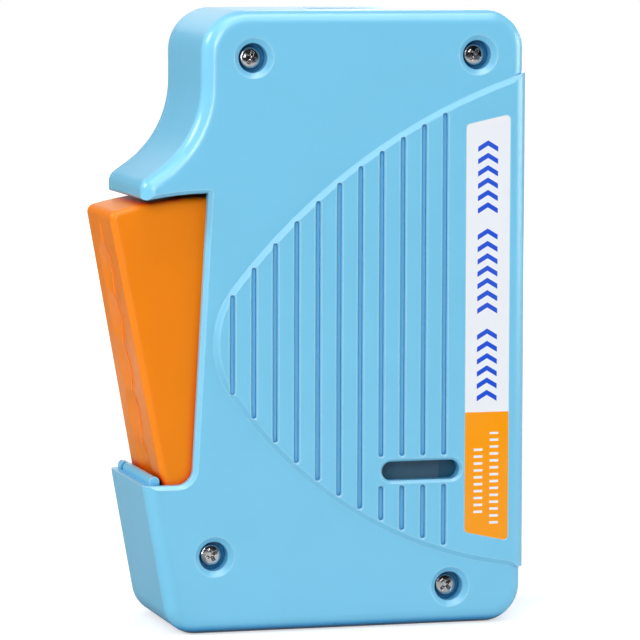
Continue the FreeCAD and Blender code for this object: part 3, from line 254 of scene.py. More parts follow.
class ShaderGroups:
    """Effects that several finishes share, each built once as a node group.

    Attributes:
        PIT_SCALE: Scale of a mould's pits against that of its grain.
        PIT_DEPTH: Depth of the pits against that of the grain.
        MOTTLE_SCALE: Scale of the colour's drift against that of the grain.
        MOTTLE_RANGE: Noise at which the drift starts and is full.
        NOISE_MEAN: Middle of a noise texture's values.
        EDGE_RANGE: Match of the rounded and the plain normal at which an edge starts and is full.
        GROOVE_RANGE: Openness to the room at which the painted shade of a groove starts and is full.
        BORE_RANGE: The same for the painted shade of a bore.
        FUZZ_SCALE: Scale of a cloth's fuzz against that of its threads.
        grain: Texture of a mould.
        edges: Soft edges.
        handling: Roughness left by hands.
        recess: Masks of the painted shade in grooves and bores.
        bar: Printed rows of the label.
        weave: Weave of a fine cloth.
    """

    PIT_SCALE = 0.6
    PIT_DEPTH = 0.5
    MOTTLE_SCALE = 0.012
    MOTTLE_RANGE = (0.3, 0.7)
    NOISE_MEAN = 0.5
    EDGE_RANGE = (0.998, 0.94)
    GROOVE_RANGE = (0.78, 0.4)
    BORE_RANGE = (0.42, 0.12)
    FUZZ_SCALE = 0.4

    def __init__(self) -> None:
        """Builds every group."""
        self.grain = self._grain()
        self.edges = self._edges()
        self.handling = self._handling()
        self.recess = self._recess()
        self.bar = self._bar()
        self.weave = self._weave()

    def _grain(self) -> bpy.types.NodeTree:
        """Fine eroded texture of a mould and slow changes of its colour.

        Returns:
            The group.
        """
        graph, source, result = open_tree(
            "moulded_grain", {"Vector": VECTOR, "Scale": FLOAT}, {"Height": FLOAT, "Mottle": FLOAT})
        spot, scale = source.outputs["Vector"], source.outputs["Scale"]
        fine = graph.add("ShaderNodeTexNoise", {
            "Vector": spot, "Scale": scale, "Detail": 2.0, "Roughness": 0.6})
        pits = graph.add("ShaderNodeTexVoronoi", {
            "Vector": spot, "Scale": graph.math("MULTIPLY", scale, self.PIT_SCALE)})
        slow = graph.add("ShaderNodeTexNoise", {
            "Vector": spot, "Scale": graph.math("MULTIPLY", scale, self.MOTTLE_SCALE),
            "Detail": 4.0, "Roughness": 0.55})
        depth = graph.math("MULTIPLY", pits.outputs["Distance"], self.PIT_DEPTH)
        graph.join(
            result, Height=graph.math("ADD", fine.outputs["Fac"], depth),
            Mottle=graph.ramp(slow.outputs["Fac"], *self.MOTTLE_RANGE))
        return graph.tree

    def _edges(self) -> bpy.types.NodeTree:
        """Soft edges: a rounded normal and a mask along the edges.

        Returns:
            The group.
        """
        graph, source, result = open_tree(
            "soft_edges", {"Radius": FLOAT}, {"Normal": VECTOR, "Edge": FLOAT})
        bevel = graph.add("ShaderNodeBevel", {"Radius": source.outputs["Radius"]}, samples=6)
        plain = graph.add("ShaderNodeNewGeometry")
        match = graph.add("ShaderNodeVectorMath", {
            0: bevel.outputs[0], 1: plain.outputs["Normal"]}, operation="DOT_PRODUCT")
        graph.join(
            result, Normal=bevel.outputs[0], Edge=graph.ramp(match.outputs["Value"], *self.EDGE_RANGE))
        return graph.tree

    def _handling(self) -> bpy.types.NodeTree:
        """Roughness that changes where hands have polished or dulled the surface.

        Returns:
            The group.
        """
        graph, source, result = open_tree(
            "handling", {"Vector": VECTOR, "Scale": FLOAT, "Base": FLOAT, "Spread": FLOAT},
            {"Roughness": FLOAT})
        noise = graph.add("ShaderNodeTexNoise", {
            "Vector": source.outputs["Vector"], "Scale": source.outputs["Scale"],
            "Detail": 5.0, "Distortion": 0.4})
        swing = graph.math("SUBTRACT", noise.outputs["Fac"], self.NOISE_MEAN)
        offset = graph.math("MULTIPLY", swing, source.outputs["Spread"])
        graph.join(result, Roughness=graph.math("ADD", source.outputs["Base"], offset))
        return graph.tree

    def _recess(self) -> bpy.types.NodeTree:
        """Masks of painted shade where a place sees little of the room: grooves and gaps, then deep bores.

        Returns:
            The group.
        """
        graph, source, result = open_tree(
            "recess_shade", {"Reach": FLOAT}, {"Groove": FLOAT, "Bore": FLOAT})
        # Ambient occlusion drives the painted shade: the less of the room a point sees, the darker it is
        # painted.
        around = graph.add("ShaderNodeAmbientOcclusion", {"Distance": source.outputs["Reach"]}, samples=8)
        graph.join(
            result, Groove=graph.ramp(around.outputs["AO"], *self.GROOVE_RANGE),
            Bore=graph.ramp(around.outputs["AO"], *self.BORE_RANGE))
        return graph.tree

    def _bar(self) -> bpy.types.NodeTree:
        """Mask of one upright printed row of chevrons or dashes, in the plane of the label.

        Returns:
            The group.
        """
        graph, source, result = open_tree(
            "printed_bar",
            {"Vector": VECTOR, "Centre X": FLOAT, "Half Width": FLOAT, "Low": FLOAT, "High": FLOAT,
             "Pitch": FLOAT, "Inked Share": FLOAT, "Slope": FLOAT},
            {"Mask": FLOAT})
        split = graph.add("ShaderNodeSeparateXYZ", {0: source.outputs["Vector"]})
        across = graph.math("SUBTRACT", split.outputs["X"], source.outputs["Centre X"])
        aside = graph.math("ABSOLUTE", across)
        bent = graph.math("ADD", split.outputs["Z"], graph.math("MULTIPLY", aside, source.outputs["Slope"]))
        above = graph.math("SUBTRACT", bent, source.outputs["Low"])
        step = graph.math("FRACT", graph.math("DIVIDE", above, source.outputs["Pitch"]))
        inked = graph.math("LESS_THAN", step, source.outputs["Inked Share"])
        inside = graph.math("LESS_THAN", aside, source.outputs["Half Width"])
        for limit in (
                graph.math("GREATER_THAN", bent, source.outputs["Low"]),
                graph.math("LESS_THAN", bent, source.outputs["High"])):
            inside = graph.math("MULTIPLY", inside, limit)
        graph.join(result, Mask=graph.math("MULTIPLY", inside, inked))
        return graph.tree

    def _weave(self) -> bpy.types.NodeTree:
        """Cross weave of a fine cloth, as a height and its fuzz.

        Returns:
            The group.
        """
        graph, source, result = open_tree(
            "fine_weave", {"Vector": VECTOR, "Pitch": FLOAT}, {"Height": FLOAT, "Fuzz": FLOAT})
        split = graph.add("ShaderNodeSeparateXYZ", {0: source.outputs["Vector"]})
        rate = graph.math("DIVIDE", 2 * math.pi, source.outputs["Pitch"])
        warp = graph.math("SINE", graph.math("MULTIPLY", split.outputs["Y"], rate))
        along = graph.math("ADD", split.outputs["X"], split.outputs["Z"])
        weft = graph.math("SINE", graph.math("MULTIPLY", along, rate))
        fuzz = graph.add("ShaderNodeTexNoise", {
            "Vector": source.outputs["Vector"],
            "Scale": graph.math("DIVIDE", self.FUZZ_SCALE, source.outputs["Pitch"]), "Detail": 3.0})
        graph.join(result, Height=graph.math("MULTIPLY", warp, weft), Fuzz=fuzz.outputs["Fac"])
        return graph.tree


MaterialParts = tuple[bpy.types.Material, Graph, bpy.types.Node]
Materials = dict[Slot, bpy.types.Material]


def open_material(name: str, **sockets: object) -> MaterialParts:
    """Makes a material with a Principled shader.

    Args:
        name: Material name.
        **sockets: Plain values of the shader's sockets, with underscores for spaces.

    Returns:
        The material, its graph and its shader.
    """
    material = bpy.data.materials.new(name)
    material.use_nodes = True
    graph = Graph(material.node_tree)
    shader = graph.add("ShaderNodeBsdfPrincipled")
    for key, value in sockets.items():
        shader.inputs[key.replace("_", " ")].default_value = value
    graph.add("ShaderNodeOutputMaterial", {"Surface": shader.outputs[0]})
    return material, graph, shader


def open_matte(name: str, shade: float) -> MaterialParts:
    """Makes a grey material without gloss.

    Args:
        name: Material name.
        shade: Share of the light that it throws back.

    Returns:
        The material, its graph and its shader.
    """
    return open_material(
        name, Base_Color=(shade, shade, shade, 1.0), Roughness=MATTE_ROUGHNESS, Specular_IOR_Level=0.0)


def place_group(graph: Graph, tree: bpy.types.NodeTree, **inputs: object) -> bpy.types.Node:
    """Places a shader group in a material.

    Args:
        graph: The material's graph.
        tree: The group.
        **inputs: Values or sockets of its inputs, with underscores for spaces.

    Returns:
        The group's node.
    """
    named = {key.replace("_", " "): value for key, value in inputs.items()}
    return graph.add("ShaderNodeGroup", named, node_tree=tree)


def add_relief(graph: Graph, shader: bpy.types.Node, **inputs: object) -> None:
    """Gives a shader a fine relief.

    Args:
        graph: The material's graph.
        shader: Its shader.
        **inputs: Values or sockets of the Bump node's inputs.
    """
    bump = graph.add("ShaderNodeBump", inputs)
    graph.join(shader, Normal=bump.outputs[0])


@dataclass(frozen=True)
class MouldedPlastic:
    """Finish of an injection-moulded piece.

    Attributes:
        name: Material name.
        colour: Linear colour.
        roughness: Mean roughness.
        specular: Strength of its mirror reflection, 0.5 for plain plastic.
        ior: Its index of refraction.
        grain_scale: Grains per metre of the mould's texture.
        grain_depth: Height of the texture in metres.
        variation: How far the colour drifts over the piece towards its deep end.
        pale_share: Share of that drift at its pale end.
        handling_scale: Patches per metre that hands leave.
        handling_spread: How far they change the roughness.
        edge_radius: Radius of the softened edges in metres.
        edge_lift: How much lighter the edges are, partly as wear and partly as painted highlight.
        shade_reach: Distance over which grooves and gaps get painted shade, in metres.
        groove_shade_power: Power that deepens the colour into painted shade in grooves and gaps.
        groove_shade_gain: Level of that painted shade.
        bore_shade_power: Power that deepens it into darker painted shade in bores.
        bore_shade_gain: Level of the painted shade in bores.
    """

    name: str
    colour: Colour
    roughness: float = 0.25
    specular: float = 0.5
    ior: float = 1.5
    grain_scale: float = 5200.0
    grain_depth: float = 0.000004
    variation: float = 0.03
    pale_share: float = 0.3
    handling_scale: float = 38.0
    handling_spread: float = 0.12
    edge_radius: float = 0.00025
    edge_lift: float = 0.25
    shade_reach: float = 0.0025
    groove_shade_power: float = 1.9
    groove_shade_gain: float = 1.1
    bore_shade_power: float = 2.6
    bore_shade_gain: float = 0.3

    def build(self, groups: ShaderGroups) -> bpy.types.Material:
        """Builds the material.

        Args:
            groups: The shared shader groups.

        Returns:
            The material.
        """
        material, graph, shader = open_material(self.name, Specular_IOR_Level=self.specular, IOR=self.ior)
        spot = graph.add("ShaderNodeTexCoord").outputs["Object"]
        grain = place_group(graph, groups.grain, Vector=spot, Scale=self.grain_scale)
        edges = place_group(graph, groups.edges, Radius=self.edge_radius)
        handling = place_group(
            graph, groups.handling, Vector=spot, Scale=self.handling_scale, Base=self.roughness,
            Spread=self.handling_spread)
        recess = place_group(graph, groups.recess, Reach=self.shade_reach)
        deep = tuple(channel * (1 - self.variation) for channel in self.colour)
        pale = tuple(min(1.0, channel * (1 + self.pale_share * self.variation)) for channel in self.colour)
        # Edges are lightened partly as wear and partly as painted highlight. Grooves keep their painted shade
        # instead.
        worn_and_highlit = tuple(channel + (1 - channel) * self.edge_lift for channel in self.colour)
        # Painted shade colours: a deeper one for grooves and gaps, a darker one for bores.
        groove = tuple(min(1.0, self.groove_shade_gain * channel ** self.groove_shade_power) for channel in self.colour)
        bore = tuple(self.bore_shade_gain * channel ** self.bore_shade_power for channel in self.colour)
        base = graph.blend(grain.outputs["Mottle"], deep, pale)
        # The occlusion masks mix the painted shade into the colour.
        base = graph.blend(recess.outputs["Groove"], base, groove)
        base = graph.blend(recess.outputs["Bore"], base, bore)
        bare = graph.math("SUBTRACT", 1.0, recess.outputs["Groove"])
        proud = graph.math("MULTIPLY", edges.outputs["Edge"], bare)
        edge = graph.math("MULTIPLY", proud, grain.outputs["Height"], clamp=True)
        graph.join(shader, Base_Color=graph.blend(edge, base, worn_and_highlit), Roughness=handling.outputs["Roughness"])
        add_relief(
            graph, shader, Strength=1.0, Distance=self.grain_depth, Height=grain.outputs["Height"],
            Normal=edges.outputs["Normal"])
        return material


@dataclass(frozen=True)
class PlatedSteel:
    """Finish of a turned or drawn steel piece.

    Attributes:
        name: Material name.
        colour: Linear colour.
        roughness: Mean roughness.
        grain_scale: Scratches per metre.
        grain_depth: Their depth in metres.
        grain_strength: How strongly they show.
        dull_share: Level of the colour where the plating is dull.
        handling_scale: Patches per metre that hands leave.
        handling_spread: How far they change the roughness.
        edge_radius: Radius of the softened edges in metres.
    """

    name: str
    colour: Colour
    roughness: float = 0.22
    grain_scale: float = 2600.0
    grain_depth: float = 0.004 * MM
    grain_strength: float = 0.5
    dull_share: float = 0.72
    handling_scale: float = 900.0
    handling_spread: float = 0.2
    edge_radius: float = 0.08 * MM

    def build(self, groups: ShaderGroups) -> bpy.types.Material:
        """Builds the material.

        Args:
            groups: The shared shader groups.

        Returns:
            The material.
        """
        material, graph, shader = open_material(self.name, Metallic=1.0)
        spot = graph.add("ShaderNodeTexCoord").outputs["Object"]
        grain = place_group(graph, groups.grain, Vector=spot, Scale=self.grain_scale)
        handling = place_group(
            graph, groups.handling, Vector=spot, Scale=self.handling_scale, Base=self.roughness,
            Spread=self.handling_spread)
        edges = place_group(graph, groups.edges, Radius=self.edge_radius)
        dull = tuple(channel * self.dull_share for channel in self.colour)
        tint = graph.blend(grain.outputs["Mottle"], self.colour, dull)
        graph.join(shader, Base_Color=tint, Roughness=handling.outputs["Roughness"])
        add_relief(
            graph, shader, Strength=self.grain_strength, Distance=self.grain_depth,
            Height=grain.outputs["Height"], Normal=edges.outputs["Normal"])
        return material


@dataclass(frozen=True)
class PrintedBar:
    """One upright row of chevrons or dashes on the label, in millimetres.

    Attributes:
        x: Middle of the row.
        low: Its lower end.
        high: Its upper end.
        width: Its width.
        pitch: Distance from one mark to the next.
        inked: Share of the pitch that is inked.
        slope: Fall of a mark from the row's middle to its sides, 0 for a straight dash.
    """

    x: float
    low: float
    high: float
    width: float
    pitch: float
    inked: float
    slope: float = 0.0


@dataclass(frozen=True)
class LabelFilm:
    """Finish of the label: a white field with blue chevrons and an orange field with white dashes.

    Attributes:
        name: Material name.
        white: Linear colour of the upper field.
        orange: Linear colour of the lower field.
        blue: Linear colour of the upper rows.
        aged: Linear colour towards which the print fades.
        age_share: How far it fades.
        border: Height of the border between the fields, in millimetres.
        upper: Rows on the white field.
        lower: Rows on the orange field.
        roughness: Mean roughness.
        specular: Strength of its mirror reflection.
        grain_scale: Grains per metre of the film.
        grain_depth: Their height in metres.
        grain_strength: How strongly they show.
        handling_scale: Patches per metre that hands leave.
        handling_spread: How far they change the roughness.
    """

    name: str = "printed_label_film"
    white: Colour = srgb(234, 238, 244)
    orange: Colour = srgb(250, 156, 2)
    blue: Colour = srgb(18, 78, 214)
    aged: Colour = srgb(200, 205, 200)
    age_share: float = 0.05
    border: float = 40.0
    upper: tuple[PrintedBar, ...] = tuple(
        PrintedBar(31.2, low, high, width=3.9, pitch=2.3, inked=0.42, slope=0.6)
        for low, high in ((43.2, 57.0), (59.6, 75.7), (78.3, 92.1)))
    lower: tuple[PrintedBar, ...] = tuple(
        PrintedBar(x, low, high, width=1.7, pitch=1.3, inked=0.36)
        for x, low, high in ((29.6, 21.0, 33.4), (32.7, 18.9, 36.2)))
    roughness: float = 0.34
    specular: float = 0.16
    grain_scale: float = 3000.0
    grain_depth: float = 0.004 * MM
    grain_strength: float = 0.4
    handling_scale: float = 60.0
    handling_spread: float = 0.16

    def build(self, groups: ShaderGroups) -> bpy.types.Material:
        """Builds the material.

        Args:
            groups: The shared shader groups.

        Returns:
            The material.
        """
        material, graph, shader = open_material(self.name, Specular_IOR_Level=self.specular)
        spot = graph.add("ShaderNodeTexCoord").outputs["Object"]
        split = graph.add("ShaderNodeSeparateXYZ", {0: spot})
        over = graph.math("GREATER_THAN", split.outputs["Z"], self.border * MM)
        tint = graph.blend(over, self.orange, self.white)
        for bars, ink in ((self.upper, self.blue), (self.lower, self.white)):
            for bar in bars:
                mask = place_group(
                    graph, groups.bar, Vector=spot, Centre_X=bar.x * MM, Half_Width=bar.width / 2 * MM,
                    Low=bar.low * MM, High=bar.high * MM, Pitch=bar.pitch * MM, Inked_Share=bar.inked,
                    Slope=bar.slope)
                tint = graph.blend(mask.outputs["Mask"], tint, ink)
        grain = place_group(graph, groups.grain, Vector=spot, Scale=self.grain_scale)
        fade = graph.math("MULTIPLY", grain.outputs["Mottle"], self.age_share)
        tint = graph.blend(fade, tint, self.aged)
        handling = place_group(
            graph, groups.handling, Vector=spot, Scale=self.handling_scale, Base=self.roughness,
            Spread=self.handling_spread)
        graph.join(shader, Base_Color=tint, Roughness=handling.outputs["Roughness"])
        add_relief(
            graph, shader, Strength=self.grain_strength, Distance=self.grain_depth,
            Height=grain.outputs["Height"])
        return material


@dataclass(frozen=True)
class ClearPlastic:
    """Finish of the window's smoky clear strip.

    Attributes:
        name: Material name.
        colour: Linear colour of its smoke.
        density: Share of the light that the smoke stops.
        ior: Its index of refraction.
        roughness: Mean roughness.
        handling_scale: Patches per metre that hands leave.
        handling_spread: How far they change the roughness.
    """

    name: str = "smoky_clear_plastic"
    colour: Colour = srgb(46, 106, 136)
    density: float = 0.34
    ior: float = 1.49
    roughness: float = 0.06
    handling_scale: float = 240.0
    handling_spread: float = 0.08

    def build(self, groups: ShaderGroups) -> bpy.types.Material:
        """Builds the material.

        Args:
            groups: The shared shader groups.

        Returns:
            The material.
        """
        material, graph, shader = open_material(
            self.name, Base_Color=(*self.colour, 1.0), Alpha=self.density, IOR=self.ior)
        spot = graph.add("ShaderNodeTexCoord").outputs["Object"]
        handling = place_group(
            graph, groups.handling, Vector=spot, Scale=self.handling_scale, Base=self.roughness,
            Spread=self.handling_spread)
        graph.join(shader, Roughness=handling.outputs["Roughness"])
        return material


@dataclass(frozen=True)
class SoftFibre:
    """Finish of a woven or felted piece.

    Attributes:
        name: Material name.
        colour: Linear colour.
        pitch: Thread pitch in metres.
        depth: Thread height in metres.
        relief: How strongly the threads show.
        shade_share: Level of the painted shade between the threads.
        roughness: Its roughness.
        sheen: Strength of its sheen.
        sheen_roughness: Roughness of the sheen.
    """

    name: str
    colour: Colour
    pitch: float
    depth: float
    relief: float = 0.8
    shade_share: float = 0.7
    roughness: float = 0.9
    sheen: float = 0.25
    sheen_roughness: float = 0.5

    def build(self, groups: ShaderGroups) -> bpy.types.Material:
        """Builds the material.

        Args:
            groups: The shared shader groups.

        Returns:
            The material.
        """
        material, graph, shader = open_material(
            self.name, Roughness=self.roughness, Sheen_Weight=self.sheen,
            Sheen_Roughness=self.sheen_roughness)
        spot = graph.add("ShaderNodeTexCoord").outputs["Object"]
        weave = place_group(graph, groups.weave, Vector=spot, Pitch=self.pitch)
        # Painted shade between the threads, with the full colour on their crests.
        shade = tuple(channel * self.shade_share for channel in self.colour)
        thread = graph.ramp(weave.outputs["Height"], -1.0, 1.0)
        tint = graph.blend(graph.math("MULTIPLY", thread, weave.outputs["Fuzz"]), shade, self.colour)
        graph.join(shader, Base_Color=tint)
        height = graph.math("ADD", weave.outputs["Height"], weave.outputs["Fuzz"])
        add_relief(graph, shader, Strength=self.relief, Distance=self.depth, Height=height)
        return material


Finish = MouldedPlastic | PlatedSteel | LabelFilm | ClearPlastic | SoftFibre

FINISHES: dict[Slot, Finish] = {
    Slot.CASE: MouldedPlastic("light_blue_case", srgb(120, 199, 234), edge_radius=0.0003, edge_lift=0.4),
    Slot.LEVER: MouldedPlastic(
        "orange_lever", srgb(243, 132, 4), roughness=0.34, specular=0.26, edge_radius=0.0003,
        edge_lift=0.1),
    Slot.INNER: MouldedPlastic("dark_inner_moulding", srgb(58, 62, 66), roughness=0.5, grain_scale=3800.0),
    Slot.REEL: MouldedPlastic(
        "natural_reel_moulding", srgb(226, 226, 220), roughness=0.45, grain_scale=3400.0),
    Slot.PAD: MouldedPlastic(
        "soft_pad_rubber", srgb(74, 74, 78), roughness=0.72, grain_scale=2400.0, grain_depth=0.00003),
    Slot.SCREW: PlatedSteel("bright_screw_plating", srgb(214, 212, 212), roughness=0.16),
    Slot.PIN: PlatedSteel("ground_pin_steel", srgb(200, 200, 204), roughness=0.3),
    Slot.SPRING: PlatedSteel("drawn_spring_wire", srgb(168, 168, 172), roughness=0.34),
    Slot.TAPE: SoftFibre("woven_cleaning_tape", srgb(226, 230, 234), pitch=0.22 * MM, depth=0.03 * MM),
    Slot.FELT: SoftFibre("pressed_felt", srgb(150, 152, 146), pitch=0.4 * MM, depth=0.06 * MM),
    Slot.LABEL: LabelFilm(),
    Slot.LENS: ClearPlastic(),
}


def build_materials() -> Materials:
    """Builds every finish of the cassette once.

    Returns:
        The material of each slot.
    """
    groups = ShaderGroups()
    return {slot: finish.build(groups) for slot, finish in FINISHES.items()}


def new_piece(name: str, mesh: bpy.types.Mesh, material: bpy.types.Material) -> bpy.types.Object:
    """Links a mesh as a piece at the origin.

    Args:
        name: Piece name.
        mesh: Its mesh, in metres.
        material: Its only material.

    Returns:
        The piece.
    """
    mesh.materials.clear()
    mesh.materials.append(material)
    piece = bpy.data.objects.new(name, mesh)
    bpy.context.scene.collection.objects.link(piece)
    return piece


def settle(piece: bpy.types.Object, body: Body, slot: Slot, *nodes: str) -> None:
    """Makes a piece ride on a body in place of CAD nodes.

    Args:
        piece: The piece.
        body: The body that it rides on.
        slot: The record's material slot; not used.
        *nodes: The CAD nodes that it stands for.
    """
    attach(piece, body.value)
    if nodes:
        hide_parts(*nodes)
    LOG.info("%s: %d faces on %s", piece.name, len(piece.data.polygons), body.value)


def round_edges(work: bmesh.types.BMesh, radius: float) -> None:
    """Rounds every corner edge of a plain closed mesh.

    Args:
        work: The mesh, with its triangles joined.
        radius: Radius of the edges in metres.
    """
    bmesh.ops.dissolve_limit(
        work, angle_limit=math.radians(FLAT_DEGREES), verts=work.verts, edges=work.edges)
    corners = [edge for edge in work.edges if edge.calc_face_angle() > math.radians(CORNER_DEGREES)]
    bmesh.ops.bevel(
        work, geom=corners, offset=radius, segments=ROUND_SEGMENTS, profile=0.5, affect="EDGES",
        clamp_overlap=True)


def smooth_copy(node: str, rounding: float = 0.0, sharp_degrees: float = 24.0) -> bpy.types.Mesh:
    """Copies a CAD node's mesh with its triangles joined and its curved faces smooth.

    Args:
        node: CAD node name.
        rounding: Radius in metres to which its edges are rounded, 0 to leave them.
        sharp_degrees: Angle from which an edge stays sharp.

    Returns:
        The new mesh.
    """
    work = bmesh.new()
    work.from_mesh(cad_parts[node].data)
    bmesh.ops.remove_doubles(work, verts=work.verts, dist=MERGE_DISTANCE)
    if rounding:
        round_edges(work, rounding)
    limit = math.radians(sharp_degrees)
    for edge in work.edges:
        edge.smooth = edge.is_manifold and edge.calc_face_angle() < limit
    for face in work.faces:
        face.smooth = True
    mesh = bpy.data.meshes.new(node + "_smooth")
    work.to_mesh(mesh)
    work.free()
    imported = mesh.attributes.get("custom_normal")
    if imported is not None:
        mesh.attributes.remove(imported)
    return mesh


def even_shading(piece: bpy.types.Object) -> None:
    """Lets the large faces of a piece set the shading of its corners.

    Args:
        piece: The piece.
    """
    weighted = piece.modifiers.new("even_shading", "WEIGHTED_NORMAL")
    weighted.keep_sharp = True
    weighted.weight = LARGE_FACE_WEIGHT


def lathe(name: str, profile: list[tuple[float, float]], sides: int) -> bpy.types.Mesh:
    """Turns a profile about the Y axis.

    Args:
        name: Mesh name.
        profile: Radius and depth of each point, from one end of the axis to the other.
        sides: Number of sides.

    Returns:
        A closed mesh.
    """
    mesh = bpy.data.meshes.new(name)
    work = bmesh.new()
    turns = [2 * math.pi * k / sides for k in range(sides)]
    rows = []
    for radius, y in profile:
        if radius == 0.0:
            rows.append([work.verts.new((0.0, y, 0.0))])
            continue
        rows.append([work.verts.new((radius * math.cos(turn), y, radius * math.sin(turn))) for turn in turns])
    for first, second in zip(rows, rows[1:]):
        for k in range(sides):
            ring = [
                first[k % len(first)], first[(k + 1) % len(first)],
                second[(k + 1) % len(second)], second[k % len(second)]]
            work.faces.new(list(dict.fromkeys(ring)))
    bmesh.ops.recalc_face_normals(work, faces=work.faces)
    work.to_mesh(mesh)
    work.free()
    return mesh


def evaluated_mesh(piece: bpy.types.Object, name: str) -> bpy.types.Mesh:
    """Plain mesh of an object with its modifiers applied.

    Args:
        piece: The object.
        name: Name of the new mesh.

    Returns:
        The new mesh.
    """
    graph = bpy.context.evaluated_depsgraph_get()
    mesh = bpy.data.meshes.new_from_object(piece.evaluated_get(graph), depsgraph=graph)
    mesh.name = name
    return mesh


def start_layout(name: str, inputs: dict[str, str]) -> TreeParts:
    """Opens a Geometry Nodes tree.

    Args:
        name: Tree name.
        inputs: Socket type of each input but the geometry.

    Returns:
        The graph, its input node and its output node.
    """
    return open_tree(
        name, {"Geometry": GEOMETRY, **inputs}, {"Geometry": GEOMETRY}, kind="GeometryNodeTree")


def end_layout(
        graph: Graph, result: bpy.types.Node, geometry: bpy.types.NodeSocket,
        material: bpy.types.Material) -> bpy.types.NodeTree:
    """Ends a Geometry Nodes tree in real, dressed geometry.

    Args:
        graph: The tree's graph.
        result: Its output node.
        geometry: Socket of the finished geometry.
        material: The geometry's finish.

    Returns:
        The tree.
    """
    real = graph.add("GeometryNodeRealizeInstances", {"Geometry": geometry})
    dressed = graph.add("GeometryNodeSetMaterial", {"Geometry": real.outputs[0], "Material": material})
    graph.join(result, Geometry=dressed.outputs[0])
    return graph.tree


def run_layout(
        start: bpy.types.Mesh, tree: bpy.types.NodeTree, inputs: dict[str, object],
        name: str) -> bpy.types.Mesh:
    """Runs a Geometry Nodes tree and returns the result as a plain mesh.

    Args:
        start: The mesh that it starts from.
        tree: The tree.
        inputs: Value of each named input.
        name: Name of the new mesh.

    Returns:
        The new mesh.
    """
    carrier = bpy.data.objects.new(name + "_carrier", start)
    bpy.context.scene.collection.objects.link(carrier)
    modifier = carrier.modifiers.new(tree.name, "NODES")
    modifier.node_group = tree
    for item in tree.interface.items_tree:
        if item.in_out == "INPUT" and item.name in inputs:
            modifier[item.identifier] = inputs[item.name]
    mesh = evaluated_mesh(carrier, name)
    carrier.modifiers.remove(modifier)
    bpy.data.objects.remove(carrier)
    return mesh


@dataclass
class CarriedNode:
    """A CAD node that is shown as its own smooth-shaded copy.

    Attributes:
        node: CAD node name.
        body: Body that it rides on.
        slot: Material slot of the record.
        rounding: Radius in millimetres to which its edges are rounded, 0 to leave them.
    """

    node: str
    body: Body
    slot: Slot
    rounding: float = 0.0

    def build(self, materials: Materials) -> bpy.types.Object:
        """Builds the copy and puts it in the node's place.

        Args:
            materials: The material of each slot.

        Returns:
            The piece.
        """
        mesh = smooth_copy(self.node, self.rounding * MM)
        piece = new_piece(self.node + "_dressed", mesh, materials[self.slot])
        even_shading(piece)
        settle(piece, self.body, self.slot, self.node)
        return piece


@dataclass
class SprungLeaf(CarriedNode):
    """Hold pawl's leaf, which rides over the ratchet's teeth; its copy has a mesh of its own and doesn't
    bend.

    Attributes:
        joint: Joint that would lift it; not used.
        lift: How far its tip would rise at the joint's limit, in millimetres; not used.
    """

    joint: str = "lever_squeeze"
    lift: float = 0.6

    def build(self, materials: Materials) -> bpy.types.Object:
        """Builds the leaf as a copy with a mesh of its own.

        Args:
            materials: The material of each slot.

        Returns:
            The piece.
        """
        piece = super().build(materials)
        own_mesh(piece)
        return piece


